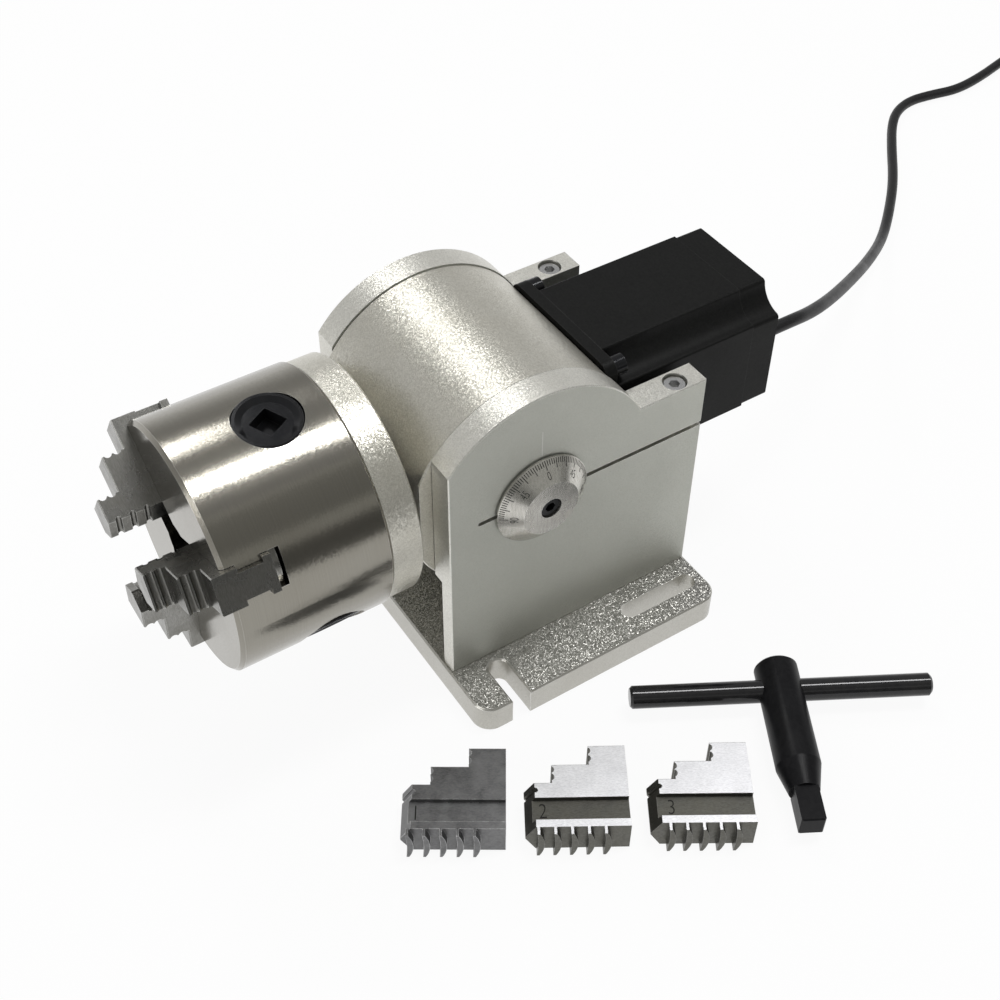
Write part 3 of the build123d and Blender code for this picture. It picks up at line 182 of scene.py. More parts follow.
def scaledPlace(group, scale):
    # the object's own coordinates times a group's scale
    place = put(group, "ShaderNodeTexCoord", -900, 300).outputs["Object"]
    return put(group, "ShaderNodeVectorMath", -700, 200, {"operation": "SCALE"}, i0=place, Scale=scale).outputs[0]


grainShares = {"pits": 0.55, "soft": 0.45, "softScale": 0.45}


def makeBlastedGrain(s):
    # fine pits of glass beads: one shade per pit, and their height
    group, start, end = newGroup("blastedGrain", [("Scale", "NodeSocketFloat", 1700.0)],
                                 [("Shade", "NodeSocketFloat"), ("Height", "NodeSocketFloat")])
    scaled = scaledPlace(group, start.outputs["Scale"])
    pits = put(group, "ShaderNodeTexVoronoi", -500, 200, None, Vector=scaled, Scale=1.0)
    speck = put(group, "ShaderNodeSeparateColor", -300, 250, None, i0=pits.outputs["Color"]).outputs[0]
    soft = put(group, "ShaderNodeTexNoise", -500, -100, None, Vector=scaled, Scale=s["softScale"],
               Detail=2.0).outputs[0]
    pitShade = math2(group, "MULTIPLY", speck, s["pits"], -100, 200)
    softShade = math2(group, "MULTIPLY", soft, s["soft"], -100, 0)
    group.links.new(math2(group, "ADD", pitShade, softShade, 100, 150), end.inputs["Shade"])
    height = math2(group, "ADD", pits.outputs["Distance"], soft, 100, -50)
    group.links.new(height, end.inputs["Height"])
    return group


def makeGlints():
    # every pit leans its own way, so single grains catch a lamp
    group, start, end = newGroup("glints", [("Scale", "NodeSocketFloat", 1500.0), ("Lean", "NodeSocketFloat", 0.2)],
                                 [("Normal", "NodeSocketVector")])
    scaled = scaledPlace(group, start.outputs["Scale"])
    pits = put(group, "ShaderNodeTexVoronoi", -500, 200, None, Vector=scaled, Scale=1.0).outputs["Color"]
    centred = put(group, "ShaderNodeVectorMath", -300, 200, {"operation": "SUBTRACT"}, i0=pits,
                  i1=(0.5, 0.5, 0.5)).outputs[0]
    lean = put(group, "ShaderNodeVectorMath", -100, 200, {"operation": "SCALE"}, i0=centred,
               Scale=start.outputs["Lean"]).outputs[0]
    straight = put(group, "ShaderNodeNewGeometry", -300, 0).outputs["Normal"]
    leaning = put(group, "ShaderNodeVectorMath", 100, 100, {"operation": "ADD"}, i0=straight, i1=lean).outputs[0]
    unit = put(group, "ShaderNodeVectorMath", 300, 100, {"operation": "NORMALIZE"}, i0=leaning).outputs[0]
    group.links.new(unit, end.inputs["Normal"])
    return group


wearAndHighlightLimits = {"flat": 0.99, "sharp": 0.82, "bare": 0.3, "full": 0.6, "least": 0.35, "bevelSamples": 4}


def makeEdgeWear(s):
    # bright rubbed edges, partly real wear and partly a painted edge highlight, broken up along their length
    group, start, end = newGroup("edgeWearAndHighlight", [("Width", "NodeSocketFloat", 0.0006), ("Amount", "NodeSocketFloat", 1.0),
                                              ("Breakup", "NodeSocketFloat", 180.0)],
                                 [("Mask", "NodeSocketFloat")])
    rounded = put(group, "ShaderNodeBevel", -700, 200, {"samples": s["bevelSamples"]},
                  Radius=start.outputs["Width"]).outputs[0]
    straight = put(group, "ShaderNodeNewGeometry", -700, 0).outputs["Normal"]
    match = put(group, "ShaderNodeVectorMath", -500, 100, {"operation": "DOT_PRODUCT"}, i0=rounded, i1=straight)
    edge = spread(group, match.outputs["Value"], s["flat"], s["sharp"], 0.0, 1.0, -300, 100)
    place = put(group, "ShaderNodeTexCoord", -900, -200).outputs["Object"]
    broken = put(group, "ShaderNodeTexNoise", -500, -200, None, Vector=place, Scale=start.outputs["Breakup"],
                 Detail=3.0).outputs[0]
    broken = spread(group, broken, s["bare"], s["full"], s["least"], 1.0, -300, -200)
    mask = math2(group, "MULTIPLY", edge, broken, -100, 0)
    mask = math2(group, "MULTIPLY", mask, start.outputs["Amount"], 100, 0, True)
    group.links.new(mask, end.inputs["Mask"])
    return group


def makeTurnedLines():
    # tool marks round the spindle axis: rings on a face, hoops on a cylinder
    group, start, end = newGroup("turnedLines", [("Lines", "NodeSocketFloat", 2500.0),
                                                 ("Centre", "NodeSocketVector", (0.0, 0.0, 0.0934))],
                                 [("Shade", "NodeSocketFloat"), ("Height", "NodeSocketFloat")])
    place = put(group, "ShaderNodeTexCoord", -900, 300).outputs["Object"]
    away = put(group, "ShaderNodeVectorMath", -750, 200, {"operation": "SUBTRACT"}, i0=place,
               i1=start.outputs["Centre"]).outputs[0]
    parts = put(group, "ShaderNodeSeparateXYZ", -600, 200, None, i0=away)
    flat = put(group, "ShaderNodeCombineXYZ", -450, 300, None, i0=parts.outputs[0], i2=parts.outputs[2]).outputs[0]
    radius = put(group, "ShaderNodeVectorMath", -300, 300, {"operation": "LENGTH"}, i0=flat).outputs["Value"]
    rings = put(group, "ShaderNodeCombineXYZ", -150, 250, None, i0=radius, i1=parts.outputs[1]).outputs[0]
    lines = put(group, "ShaderNodeTexNoise", 50, 250, None, Vector=rings, Scale=start.outputs["Lines"],
                Detail=3.0, Roughness=0.65).outputs[0]
    group.links.new(lines, end.inputs["Height"])
    group.links.new(spread(group, lines, 0.3, 0.7, 0.0, 1.0, 250, 250), end.inputs["Shade"])
    return group


def makeGroundLines():
    # straight marks of a grinding wheel, long one way and fine the other
    group, start, end = newGroup("groundLines", [("Stretch", "NodeSocketVector", (300.0, 300.0, 4000.0)),
                                                 ("Turn", "NodeSocketFloat", 0.0)],
                                 [("Shade", "NodeSocketFloat"), ("Height", "NodeSocketFloat")])
    place = put(group, "ShaderNodeTexCoord", -900, 300).outputs["Object"]
    turned = put(group, "ShaderNodeVectorRotate", -700, 200, {"rotation_type": "Z_AXIS"}, Vector=place,
                 Angle=start.outputs["Turn"]).outputs[0]
    scaled = put(group, "ShaderNodeVectorMath", -500, 200, {"operation": "MULTIPLY"}, i0=turned,
                 i1=start.outputs["Stretch"]).outputs[0]
    lines = put(group, "ShaderNodeTexNoise", -300, 200, None, Vector=scaled, Scale=1.0, Detail=4.0,
                Roughness=0.7).outputs[0]
    group.links.new(lines, end.inputs["Height"])
    group.links.new(spread(group, lines, 0.32, 0.68, 0.0, 1.0, 0, 200), end.inputs["Shade"])
    return group


def makeSmudges():
    # large soft patches where oil and hands have been
    group, start, end = newGroup("smudges", [("Scale", "NodeSocketFloat", 35.0)], [("Mask", "NodeSocketFloat")])
    place = put(group, "ShaderNodeTexCoord", -900, 300).outputs["Object"]
    patch = put(group, "ShaderNodeTexNoise", -500, 200, None, Vector=place, Scale=start.outputs["Scale"],
                Detail=5.0, Roughness=0.6, Distortion=0.4).outputs[0]
    group.links.new(spread(group, patch, 0.3, 0.7, 0.0, 1.0, -200, 200), end.inputs["Mask"])
    return group


facingLimits = {"away": 0.9, "facing": 0.97}


def makeFacing(s):
    # 1 where the surface looks along the given direction or against it
    group, start, end = newGroup("facing", [("Direction", "NodeSocketVector", (1.0, 0.0, 0.0))],
                                 [("Mask", "NodeSocketFloat")])
    normal = put(group, "ShaderNodeTexCoord", -900, 300).outputs["Normal"]
    match = put(group, "ShaderNodeVectorMath", -600, 200, {"operation": "DOT_PRODUCT"}, i0=normal,
                i1=start.outputs["Direction"]).outputs["Value"]
    match = put(group, "ShaderNodeMath", -400, 200, {"operation": "ABSOLUTE"}, i0=match).outputs[0]
    group.links.new(spread(group, match, s["away"], s["facing"], 0.0, 1.0, -200, 200), end.inputs["Mask"])
    return group


glints = makeGlints()
blastedGrain = makeBlastedGrain(grainShares)
edgeWearAndHighlight = makeEdgeWear(wearAndHighlightLimits)
turnedLines = makeTurnedLines()
groundLines = makeGroundLines()
smudges = makeSmudges()
facing = makeFacing(facingLimits)
print("shader groups made")


def useGroup(tree, group, x, y, **values):
    node = put(tree, "ShaderNodeGroup", x, y, {"node_tree": group})
    for label, value in values.items():
        if isinstance(value, bpy.types.NodeSocket):
            tree.links.new(value, node.inputs[label])
        else:
            node.inputs[label].default_value = value
    return node


def newMaterial(name):
    material = bpy.data.materials.new(name)
    material.use_nodes = True
    tree = material.node_tree
    shader = tree.nodes["Principled BSDF"]
    shader.location = (700, 200)
    tree.nodes["Material Output"].location = (1000, 200)
    return material, tree, shader


bumpStrength = 0.5
edgeSmoothing = -0.5
heightBlur = 0.2 * mm  # how softly a flank begins above its height


def metalFinish(name, s):
    # a metal: two shades by its grain or tool marks, smudges, and edges rubbed bright and lightened further as a
    # painted highlight
    material, tree, shader = newMaterial(name)
    smudge = useGroup(tree, smudges, -900, -300, Scale=s["smudgeScale"]).outputs["Mask"]
    if s["marks"] == "blasted":
        marks = useGroup(tree, blastedGrain, -900, 200, Scale=s["grain"])
    elif s["marks"] == "turned":
        marks = useGroup(tree, turnedLines, -900, 200, Lines=s["grain"])
    else:
        marks = useGroup(tree, groundLines, -900, 200, Stretch=s["grain"], Turn=s.get("turn", 0.0))
    colour = mixColour(tree, marks.outputs["Shade"], (*s["dark"], 1), (*s["light"], 1), -600, 300)
    tint = math2(tree, "MULTIPLY", smudge, s["smudge"], -600, -100)
    colour = mixColour(tree, tint, colour, (*s["stain"], 1), -400, 200)
    roughness = spread(tree, smudge, 0.0, 1.0, s["roughness"][0], s["roughness"][1], -400, -300)
    # faces pointing one way get their own colour: ground faces on the spare jaws, painted shade on the cheek sides,
    # partly painted glints on the base top
    if "flank" in s:
        flank = s["flank"]
        mask = useGroup(tree, facing, -900, 500, Direction=flank["direction"]).outputs["Mask"]
        if "above" in flank:
            place = put(tree, "ShaderNodeTexCoord", -1200, 700).outputs["Object"]
            height = put(tree, "ShaderNodeSeparateXYZ", -1050, 700, None, i0=place).outputs[2]
            high = spread(tree, height, flank["above"] - heightBlur, flank["above"] + heightBlur, 0.0, 1.0,
                          -900, 700)
            mask = math2(tree, "MULTIPLY", mask, high, -750, 600)
        flankColour = mixColour(tree, marks.outputs["Shade"], (*flank["dark"], 1), (*flank["light"], 1), -600, 550)
        colour = mixColour(tree, mask, colour, flankColour, -200, 350)
        lift = math2(tree, "MULTIPLY", mask, flank["roughness"] - s["roughness"][0], -400, -500)
        roughness = math2(tree, "ADD", roughness, lift, -200, -400)
    # edges lightened: worn bare metal plus a painted edge highlight
    wornAndLitEdge = useGroup(tree, edgeWearAndHighlight, -900, -600, Width=s["edgeWidth"], Amount=s["edge"]).outputs["Mask"]
    colour = mixColour(tree, wornAndLitEdge, colour, (*s["edgeColour"], 1), 0, 300)
    smoother = math2(tree, "MULTIPLY", wornAndLitEdge, edgeSmoothing * s["roughness"][0], -200, -600)
    roughness = math2(tree, "ADD", roughness, smoother, 0, -300, True)
    height = math2(tree, "MULTIPLY", marks.outputs["Height"], s["bump"], -400, 0)
    if "fuzz" in s:
        fuzz = useGroup(tree, blastedGrain, -900, -900, Scale=s["fuzzGrain"]).outputs["Height"]
        height = math2(tree, "ADD", height, math2(tree, "MULTIPLY", fuzz, s["fuzz"], -400, -900), -200, -100)
    bump = put(tree, "ShaderNodeBump", 400, -200, None, Strength=bumpStrength, Distance=mm, Height=height)
    if "lean" in s:
        lean = s["lean"]
        if "lean" in s.get("flank", {}):
            lean = spread(tree, mask, 0.0, 1.0, lean, s["flank"]["lean"], -600, -1100)
        leaning = useGroup(tree, glints, -400, -1100, Scale=s["leanGrain"], Lean=lean).outputs["Normal"]
        tree.links.new(leaning, bump.inputs["Normal"])
    tree.links.new(colour, shader.inputs["Base Color"])
    tree.links.new(roughness, shader.inputs["Roughness"])
    tree.links.new(bump.outputs[0], shader.inputs["Normal"])
    shader.inputs["Metallic"].default_value = s["metallic"]
    return material


def paintFinish(name, s):
    # paint, plastic or rubber: a fine grain, soft patches and edges a little lighter
    material, tree, shader = newMaterial(name)
    smudge = useGroup(tree, smudges, -900, -300, Scale=s["smudgeScale"]).outputs["Mask"]
    grain = useGroup(tree, blastedGrain, -900, 200, Scale=s["grain"])
    colour = mixColour(tree, grain.outputs["Shade"], (*s["dark"], 1), (*s["light"], 1), -600, 300)
    # edges a little lighter: partly wear, partly a painted edge highlight
    wornAndLitEdge = useGroup(tree, edgeWearAndHighlight, -900, -600, Width=s["edgeWidth"], Amount=s["edge"]).outputs["Mask"]
    colour = mixColour(tree, wornAndLitEdge, colour, (*s["edgeColour"], 1), -200, 300)
    roughness = spread(tree, smudge, 0.0, 1.0, s["roughness"][0], s["roughness"][1], -400, -300)
    height = math2(tree, "MULTIPLY", grain.outputs["Height"], s["bump"], -400, 0)
    bump = put(tree, "ShaderNodeBump", 400, -200, None, Strength=bumpStrength, Distance=mm, Height=height)
    tree.links.new(colour, shader.inputs["Base Color"])
    tree.links.new(roughness, shader.inputs["Roughness"])
    tree.links.new(bump.outputs[0], shader.inputs["Normal"])
    shader.inputs["Specular IOR Level"].default_value = s["specular"]
    return material


# finishes: dark and light are the two shades, flank the look of faces that point one way, painted shade on the cheek
# sides and partly painted glints on the base top
metalFinishes = {
    "blastedAluminium": {"marks": "blasted", "grain": 2400.0, "dark": (0.50, 0.485, 0.43),
        "light": (0.80, 0.785, 0.715), "stain": (0.43, 0.405, 0.33), "smudge": 0.35, "smudgeScale": 24.0,
        "roughness": (0.29, 0.36), "edgeWidth": 0.5 * mm, "edge": 1.0, "edgeColour": (0.95, 0.95, 0.93),
        "bump": 0.03, "lean": 0.27, "leanGrain": 3100.0, "metallic": 0.85},
    "baseAluminium": {"marks": "blasted", "grain": 2600.0, "dark": (0.44, 0.43, 0.39),
        "light": (0.60, 0.59, 0.55), "stain": (0.43, 0.41, 0.36), "smudge": 0.25, "smudgeScale": 24.0,
        "roughness": (0.29, 0.36), "edgeWidth": 0.5 * mm, "edge": 1.0, "edgeColour": (0.95, 0.95, 0.93),
        "bump": 0.03, "lean": 0.10, "leanGrain": 2500.0, "metallic": 0.85,
        # the top faces' stronger speckle is partly blast grain and partly painted glints where the overhead light
        # falls
        "flank": {"direction": (0.0, 0.0, 1.0), "dark": (0.26, 0.255, 0.235), "light": (0.68, 0.67, 0.63),
                  "roughness": 0.29, "lean": 0.44}},
    "cheekAluminium": {"marks": "blasted", "grain": 2400.0, "dark": (0.60, 0.59, 0.54),
        "light": (0.88, 0.87, 0.81), "stain": (0.5, 0.48, 0.42), "smudge": 0.25, "smudgeScale": 24.0,
        "roughness": (0.33, 0.41), "edgeWidth": 0.5 * mm, "edge": 1.0, "edgeColour": (0.95, 0.95, 0.93),
        "bump": 0.025, "lean": 0.27, "leanGrain": 3100.0, "metallic": 0.85,
        # the side faces' darker, flatter colour is painted shade: they take less light than the bright rims
        "flank": {"direction": (1.0, 0.0, 0.0), "dark": (0.475, 0.48, 0.435), "light": (0.52, 0.525, 0.48),
                  "roughness": 0.5}},
    "dialAluminium": {"marks": "turned", "grain": 1500.0, "dark": (0.50, 0.49, 0.45),
        "light": (0.66, 0.65, 0.61), "stain": (0.42, 0.39, 0.34), "smudge": 0.3, "smudgeScale": 60.0,
        "roughness": (0.22, 0.30), "edgeWidth": 0.3 * mm, "edge": 0.9, "edgeColour": (0.95, 0.95, 0.93),
        "bump": 0.01, "metallic": 0.95},
    "polishedSteel": {"marks": "turned", "grain": 2600.0, "dark": (0.255, 0.243, 0.212),
        "light": (0.31, 0.298, 0.262), "stain": (0.25, 0.23, 0.19), "smudge": 0.35, "smudgeScale": 22.0,
        "roughness": (0.15, 0.21), "edgeWidth": 0.4 * mm, "edge": 0.7, "edgeColour": (0.8, 0.79, 0.76),
        "bump": 0.003, "lean": 0.035, "leanGrain": 2600.0, "metallic": 1.0},
    "turnedSteel": {"marks": "turned", "grain": 1400.0, "dark": (0.38, 0.375, 0.36),
        "light": (0.56, 0.55, 0.53), "stain": (0.33, 0.31, 0.28), "smudge": 0.3, "smudgeScale": 40.0,
        "roughness": (0.28, 0.36), "edgeWidth": 0.3 * mm, "edge": 0.6, "edgeColour": (0.8, 0.8, 0.78),
        "bump": 0.012, "metallic": 1.0},
    "bearingSteel": {"marks": "turned", "grain": 3000.0, "dark": (0.5, 0.5, 0.49), "light": (0.62, 0.62, 0.61),
        "stain": (0.4, 0.4, 0.39), "smudge": 0.2, "smudgeScale": 60.0, "roughness": (0.18, 0.24),
        "edgeWidth": 0.2 * mm, "edge": 0.5, "edgeColour": (0.8, 0.8, 0.8), "bump": 0.004, "metallic": 1.0},
    "mountedJawSteel": {"marks": "ground", "grain": (500.0, 3500.0, 500.0), "dark": (0.20, 0.198, 0.188),
        "light": (0.34, 0.336, 0.32), "stain": (0.12, 0.115, 0.095), "smudge": 0.5, "smudgeScale": 90.0,
        "roughness": (0.22, 0.34), "edgeWidth": 0.5 * mm, "edge": 1.0, "edgeColour": (0.72, 0.72, 0.70),
        "bump": 0.012, "fuzz": 0.012, "fuzzGrain": 1500.0, "metallic": 1.0},
    "darkJawSteel": {"marks": "ground", "grain": (900.0, 2600.0, 900.0), "turn": math.radians(-58),
        "dark": (0.09, 0.09, 0.092), "light": (0.17, 0.17, 0.172), "stain": (0.26, 0.26, 0.26), "smudge": 0.5,
        "smudgeScale": 170.0, "roughness": (0.34, 0.46), "edgeWidth": 0.45 * mm, "edge": 0.9,
        "edgeColour": (0.75, 0.75, 0.75), "bump": 0.02, "metallic": 0.85},
    "groundJawSteel": {"marks": "ground", "grain": (900.0, 3200.0, 900.0), "turn": math.radians(-58),
        "dark": (0.085, 0.083, 0.074), "light": (0.15, 0.148, 0.134), "stain": (0.12, 0.115, 0.09),
        "smudge": 0.4, "smudgeScale": 120.0, "roughness": (0.32, 0.42), "edgeWidth": 0.25 * mm, "edge": 0.4,
        "edgeColour": (0.7, 0.7, 0.7), "bump": 0.02, "metallic": 0.9,
        "flank": {"direction": (0.0, 0.0, 1.0), "dark": (0.72, 0.72, 0.74), "light": (0.98, 0.98, 1.0),
                  "roughness": 0.36, "above": 14.2 * mm}},
    "blackOxide": {"marks": "turned", "grain": 1800.0, "dark": (0.010, 0.011, 0.013),
        "light": (0.020, 0.021, 0.024), "stain": (0.02, 0.018, 0.015), "smudge": 0.4, "smudgeScale": 90.0,
        "roughness": (0.10, 0.20), "edgeWidth": 0.3 * mm, "edge": 0.35, "edgeColour": (0.25, 0.25, 0.25),
        "bump": 0.01, "metallic": 0.6},
    "keyBlack": {"marks": "ground", "grain": (400.0, 400.0, 400.0), "dark": (0.010, 0.010, 0.012),
        "light": (0.022, 0.022, 0.024), "stain": (0.035, 0.034, 0.032), "smudge": 0.4, "smudgeScale": 60.0,
        "roughness": (0.06, 0.12), "edgeWidth": 0.4 * mm, "edge": 0.3, "edgeColour": (0.2, 0.2, 0.2),
        "bump": 0.006, "fuzz": 0.005, "fuzzGrain": 700.0, "metallic": 0.3},
    "brightScrew": {"marks": "turned", "grain": 2500.0, "dark": (0.5, 0.5, 0.5), "light": (0.68, 0.68, 0.68),
        "stain": (0.4, 0.4, 0.4), "smudge": 0.3, "smudgeScale": 200.0, "roughness": (0.22, 0.3),
        "edgeWidth": 0.2 * mm, "edge": 0.5, "edgeColour": (0.85, 0.85, 0.85), "bump": 0.006, "metallic": 1.0},
}
paintFinishes = {
    "shankBlack": {"dark": (0.006, 0.006, 0.007), "light": (0.012, 0.012, 0.013), "grain": 700.0,
        "roughness": (0.30, 0.42), "smudgeScale": 60.0, "edgeWidth": 0.4 * mm, "edge": 0.3,
        "edgeColour": (0.06, 0.06, 0.06), "bump": 0.02, "specular": 0.12},
    "motorPaint": {"dark": (0.006, 0.0062, 0.0060), "light": (0.012, 0.0122, 0.0118), "grain": 1500.0,
        "roughness": (0.36, 0.48), "smudgeScale": 40.0, "edgeWidth": 0.5 * mm, "edge": 0.5,
        "edgeColour": (0.06, 0.06, 0.06), "bump": 0.02, "specular": 0.09},
    "cableJacket": {"dark": (0.007, 0.007, 0.008), "light": (0.015, 0.015, 0.016), "grain": 900.0,
        "roughness": (0.36, 0.5), "smudgeScale": 50.0, "edgeWidth": 0.2 * mm, "edge": 0.1,
        "edgeColour": (0.05, 0.05, 0.05), "bump": 0.015, "specular": 0.3},
    "mouldedBlack": {"dark": (0.010, 0.010, 0.011), "light": (0.020, 0.020, 0.021), "grain": 2200.0,
        "roughness": (0.42, 0.52), "smudgeScale": 80.0, "edgeWidth": 0.2 * mm, "edge": 0.3,
        "edgeColour": (0.08, 0.08, 0.08), "bump": 0.015, "specular": 0.3},
    "stampedInk": {"dark": (0.012, 0.012, 0.010), "light": (0.03, 0.03, 0.026), "grain": 2500.0,
        "roughness": (0.6, 0.75), "smudgeScale": 120.0, "edgeWidth": 0.05 * mm, "edge": 0.0,
        "edgeColour": (0.1, 0.1, 0.1), "bump": 0.01, "specular": 0.2},
    "scribedLine": {"dark": (0.58, 0.58, 0.55), "light": (0.68, 0.68, 0.65), "grain": 2500.0,
        "roughness": (0.4, 0.5), "smudgeScale": 120.0, "edgeWidth": 0.05 * mm, "edge": 0.0,
        "edgeColour": (0.8, 0.8, 0.8), "bump": 0.01, "specular": 0.5},
}
finishes = {name: metalFinish(name, values) for name, values in metalFinishes.items()}
finishes.update({name: paintFinish(name, values) for name, values in paintFinishes.items()})
print("finishes made:", len(finishes))

# which finish each CAD node wears
nodeFinishes = {
    "baseAluminium": ["base_plate"],
    "blastedAluminium": ["tilt_housing", "journal_left", "journal_right", "faceplate",
                         "shaft_coupling", "bearing_spacer_outer"],
    "cheekAluminium": ["cheek_left", "cheek_right"],
    "dialAluminium": ["angle_dial"],
    "polishedSteel": ["chuck_body"],
    "turnedSteel": ["chuck_cover", "spindle", "scroll_plate", "bearing_spacer_inner", "motor_shaft"],
    "bearingSteel": ["front_bearing_inner", "front_bearing_outer", "rear_bearing_inner", "rear_bearing_outer",
                     "pinion_pins", "bearing_circlip"],
    "mountedJawSteel": ["jaw_1", "jaw_2", "jaw_3"],
    "darkJawSteel": ["spare_jaw_1"],
    "groundJawSteel": ["spare_jaw_2", "spare_jaw_3"],
    "blackOxide": ["pinion_1", "pinion_2", "pinion_3", "spindle_locknut", "cheek_screws", "journal_screws",
                   "dial_screw", "faceplate_screws", "chuck_mount_screws", "cover_screws", "motor_screws"],
    "keyBlack": ["key_bar"],
    "shankBlack": ["key_shank"],
    "brightScrew": ["clamp_screw_left", "clamp_screw_right"],
    "motorPaint": ["motor_flange", "motor_body", "motor_rear_cap"],
    "mouldedBlack": ["cable_gland"],
}
for finish, members in nodeFinishes.items():
    for member in members:
        cadMesh = nodes[member].data
        cadMesh.materials.clear()
        cadMesh.materials.append(finishes[finish])
print("finishes given to", sum(len(m) for m in nodeFinishes.values()), "nodes")

# motor cable
cableRest = 0.00295  # height of its centre where it lies on the bench
motorCable = {
    "diameter": 5.8 * mm,
    "length": 1.38,
    "route": [
        (0.018, 0.1305, 0.092), (0.018, 0.150, 0.092), (0.013, 0.168, 0.086), (-0.001, 0.195, 0.073),
        (-0.027, 0.236, 0.050), (-0.057, 0.281, 0.024), (-0.084, 0.321, 0.006), (-0.105, 0.347, cableRest),
        (-0.127, 0.371, cableRest), (-0.153, 0.394, cableRest), (-0.171, 0.411, cableRest), (-0.182, 0.425, cableRest),
        (-0.187, 0.441, cableRest), (-0.185, 0.458, cableRest), (-0.181, 0.476, cableRest), (-0.184, 0.500, cableRest),
        (-0.192, 0.532, cableRest), (-0.197, 0.562, cableRest),
    ],
    "lead": 27 * mm,
    "coilTurns": 2,
    "coilOuter": 37.7 * mm,
    "coilPitch": 5.85 * mm,
    "coilLow": 3.3 * mm,
    "coilHigh": 9.15 * mm,
    "climbSteps": 3,
    "pointsPerTurn": 16,
    "tail": [(9 * mm, 8.8 * mm), (18 * mm, 6.4 * mm), (26 * mm, 7.2 * mm), (36 * mm, 8.0 * mm)],
    "sides": 18,
    "sharpAngle": 60,
    "bendStart": (0.018, 0.137, 0.092),
    "bendEnd": (-0.02, 0.235, 0.055),
}


def coilPoints(s):
    # wound clockwise from the outside in on the bench, then back out on top of the first layer
    last = Vector(s["route"][-1])
    before = Vector(s["route"][-2])
    ahead = (last - before).normalized()
    aside = Vector((ahead.y, -ahead.x, 0))
    entry = last + ahead * s["lead"]
    centre = entry + aside * s["coilOuter"]
    steps = s["pointsPerTurn"] * s["coilTurns"]
    swell = 1 / math.cos(math.pi / s["pointsPerTurn"])
    points = []
    for layer in (0, 1):
        for step in range(1, steps + 1):
            turned = step / s["pointsPerTurn"]
            inward = turned if layer == 0 else s["coilTurns"] - turned
            radius = (s["coilOuter"] - inward * s["coilPitch"]) * swell
            climb = min(1, turned * s["pointsPerTurn"] / s["climbSteps"]) if layer else 0
            height = s["coilLow"] + (s["coilHigh"] - s["coilLow"]) * climb
            angle = -2 * math.pi * turned
            spoke = (-aside) * math.cos(angle) + (-ahead) * math.sin(angle)
            point = centre + spoke * radius
            points.append((point.x, point.y, height))
    for along, height in s["tail"]:
        point = entry + ahead * along
        points.append((point.x, point.y, height))
    return points, centre, ahead, aside


def centreLine(points):
    # the cable's own line: one NURBS spline through its control points
    curve = bpy.data.curves.new("cableLine", "CURVE")
    curve.dimensions = "3D"
    curve.resolution_u = 8
    spline = curve.splines.new("NURBS")
    spline.points.add(len(points) - 1)
    for spot, point in zip(spline.points, points):
        spot.co = (*point, 1)
    spline.order_u = 3
    spline.use_endpoint_u = True
    mesh = meshFromCurve("cableLine", curve)
    line = [v.co.copy() for v in mesh.vertices]
    bpy.data.meshes.remove(mesh)
    return line


def tubeAlong(name, line, radius, sides, sharpAngle):
    rings, points = [], []
    across = None
    for i, point in enumerate(line):
        along = (line[min(i + 1, len(line) - 1)] - line[max(i - 1, 0)]).normalized()
        if across is None:
            across = along.orthogonal().normalized()
        across = (across - along * across.dot(along)).normalized()
        other = along.cross(across)
        rings.append(len(points))
        for k in range(sides):
            turn = 2 * math.pi * k / sides
            points.append(point + (across * math.cos(turn) + other * math.sin(turn)) * radius)
    return tidyMesh(meshFrom(name, points, ringFaces(rings, sides)), sharpAngle)


coilPart, coilCentre, coilAhead, coilAside = coilPoints(motorCable)
cableLine = centreLine(motorCable["route"] + coilPart)
cableTube = tubeAlong("motorCable", cableLine, motorCable["diameter"] / 2, motorCable["sides"],
                      motorCable["sharpAngle"])
cable = linkPiece("motorCable", cableTube, finishes["cableJacket"])
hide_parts("motor_cable", "cable_coil")
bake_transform(cable)
print("cable line", round(sum((b - a).length for a, b in zip(cableLine, cableLine[1:])), 4), "m")


# connector and tie
def turnedPiece(name, origin, direction, profile, sides, knurls=()):
    # profile: (along, radius) pairs; knurls are (from, to, teeth, depth) zones along it
    along, aside, other = axesAlong(direction)
    points, rings = [], []
    for reach, radius in profile:
        rings.append(len(points))
        for k in range(sides):
            turn = 2 * math.pi * k / sides
            r = radius
            for low, high, teeth, depth in knurls:
                if low <= reach <= high and (k * teeth // sides) % 2:
                    r -= depth
            points.append(Vector(origin) + along * reach + (aside * math.cos(turn) + other * math.sin(turn)) * r)
    return meshFrom(name, points, ringFaces(rings, sides))


cableConnector = {
    "start": 61 * mm, "height": 8 * mm, "bootSides": 36, "shellSides": 96, "pinSides": 12,
    "knurl": (18.3 * mm, 26.2 * mm, 48, 0.35 * mm),
    "boot": [(0.0, 3.4), (0.4, 3.9), (3.0, 4.2), (3.3, 3.7), (4.3, 3.7), (4.6, 4.5), (6.2, 4.7), (6.5, 4.1),
             (7.5, 4.1), (7.8, 5.1), (10.5, 5.6), (11.5, 6.6), (12.0, 6.8), (12.4, 6.8)],
    "shell": [(12.0, 6.4), (12.2, 7.1), (17.0, 7.1), (17.4, 6.7), (18.0, 6.7), (18.1, 7.5), (18.5, 7.85), (26.0, 7.85),
              (26.4, 7.5), (26.6, 6.9), (29.6, 6.9), (29.9, 6.6), (29.9, 5.7), (25.6, 5.7), (25.6, 0.6)],
    "pins": 4,
    "pinCircle": 3.1,
    "pinProfile": [(24.0, 0.75), (28.6, 0.75), (29.1, 0.4)],
}


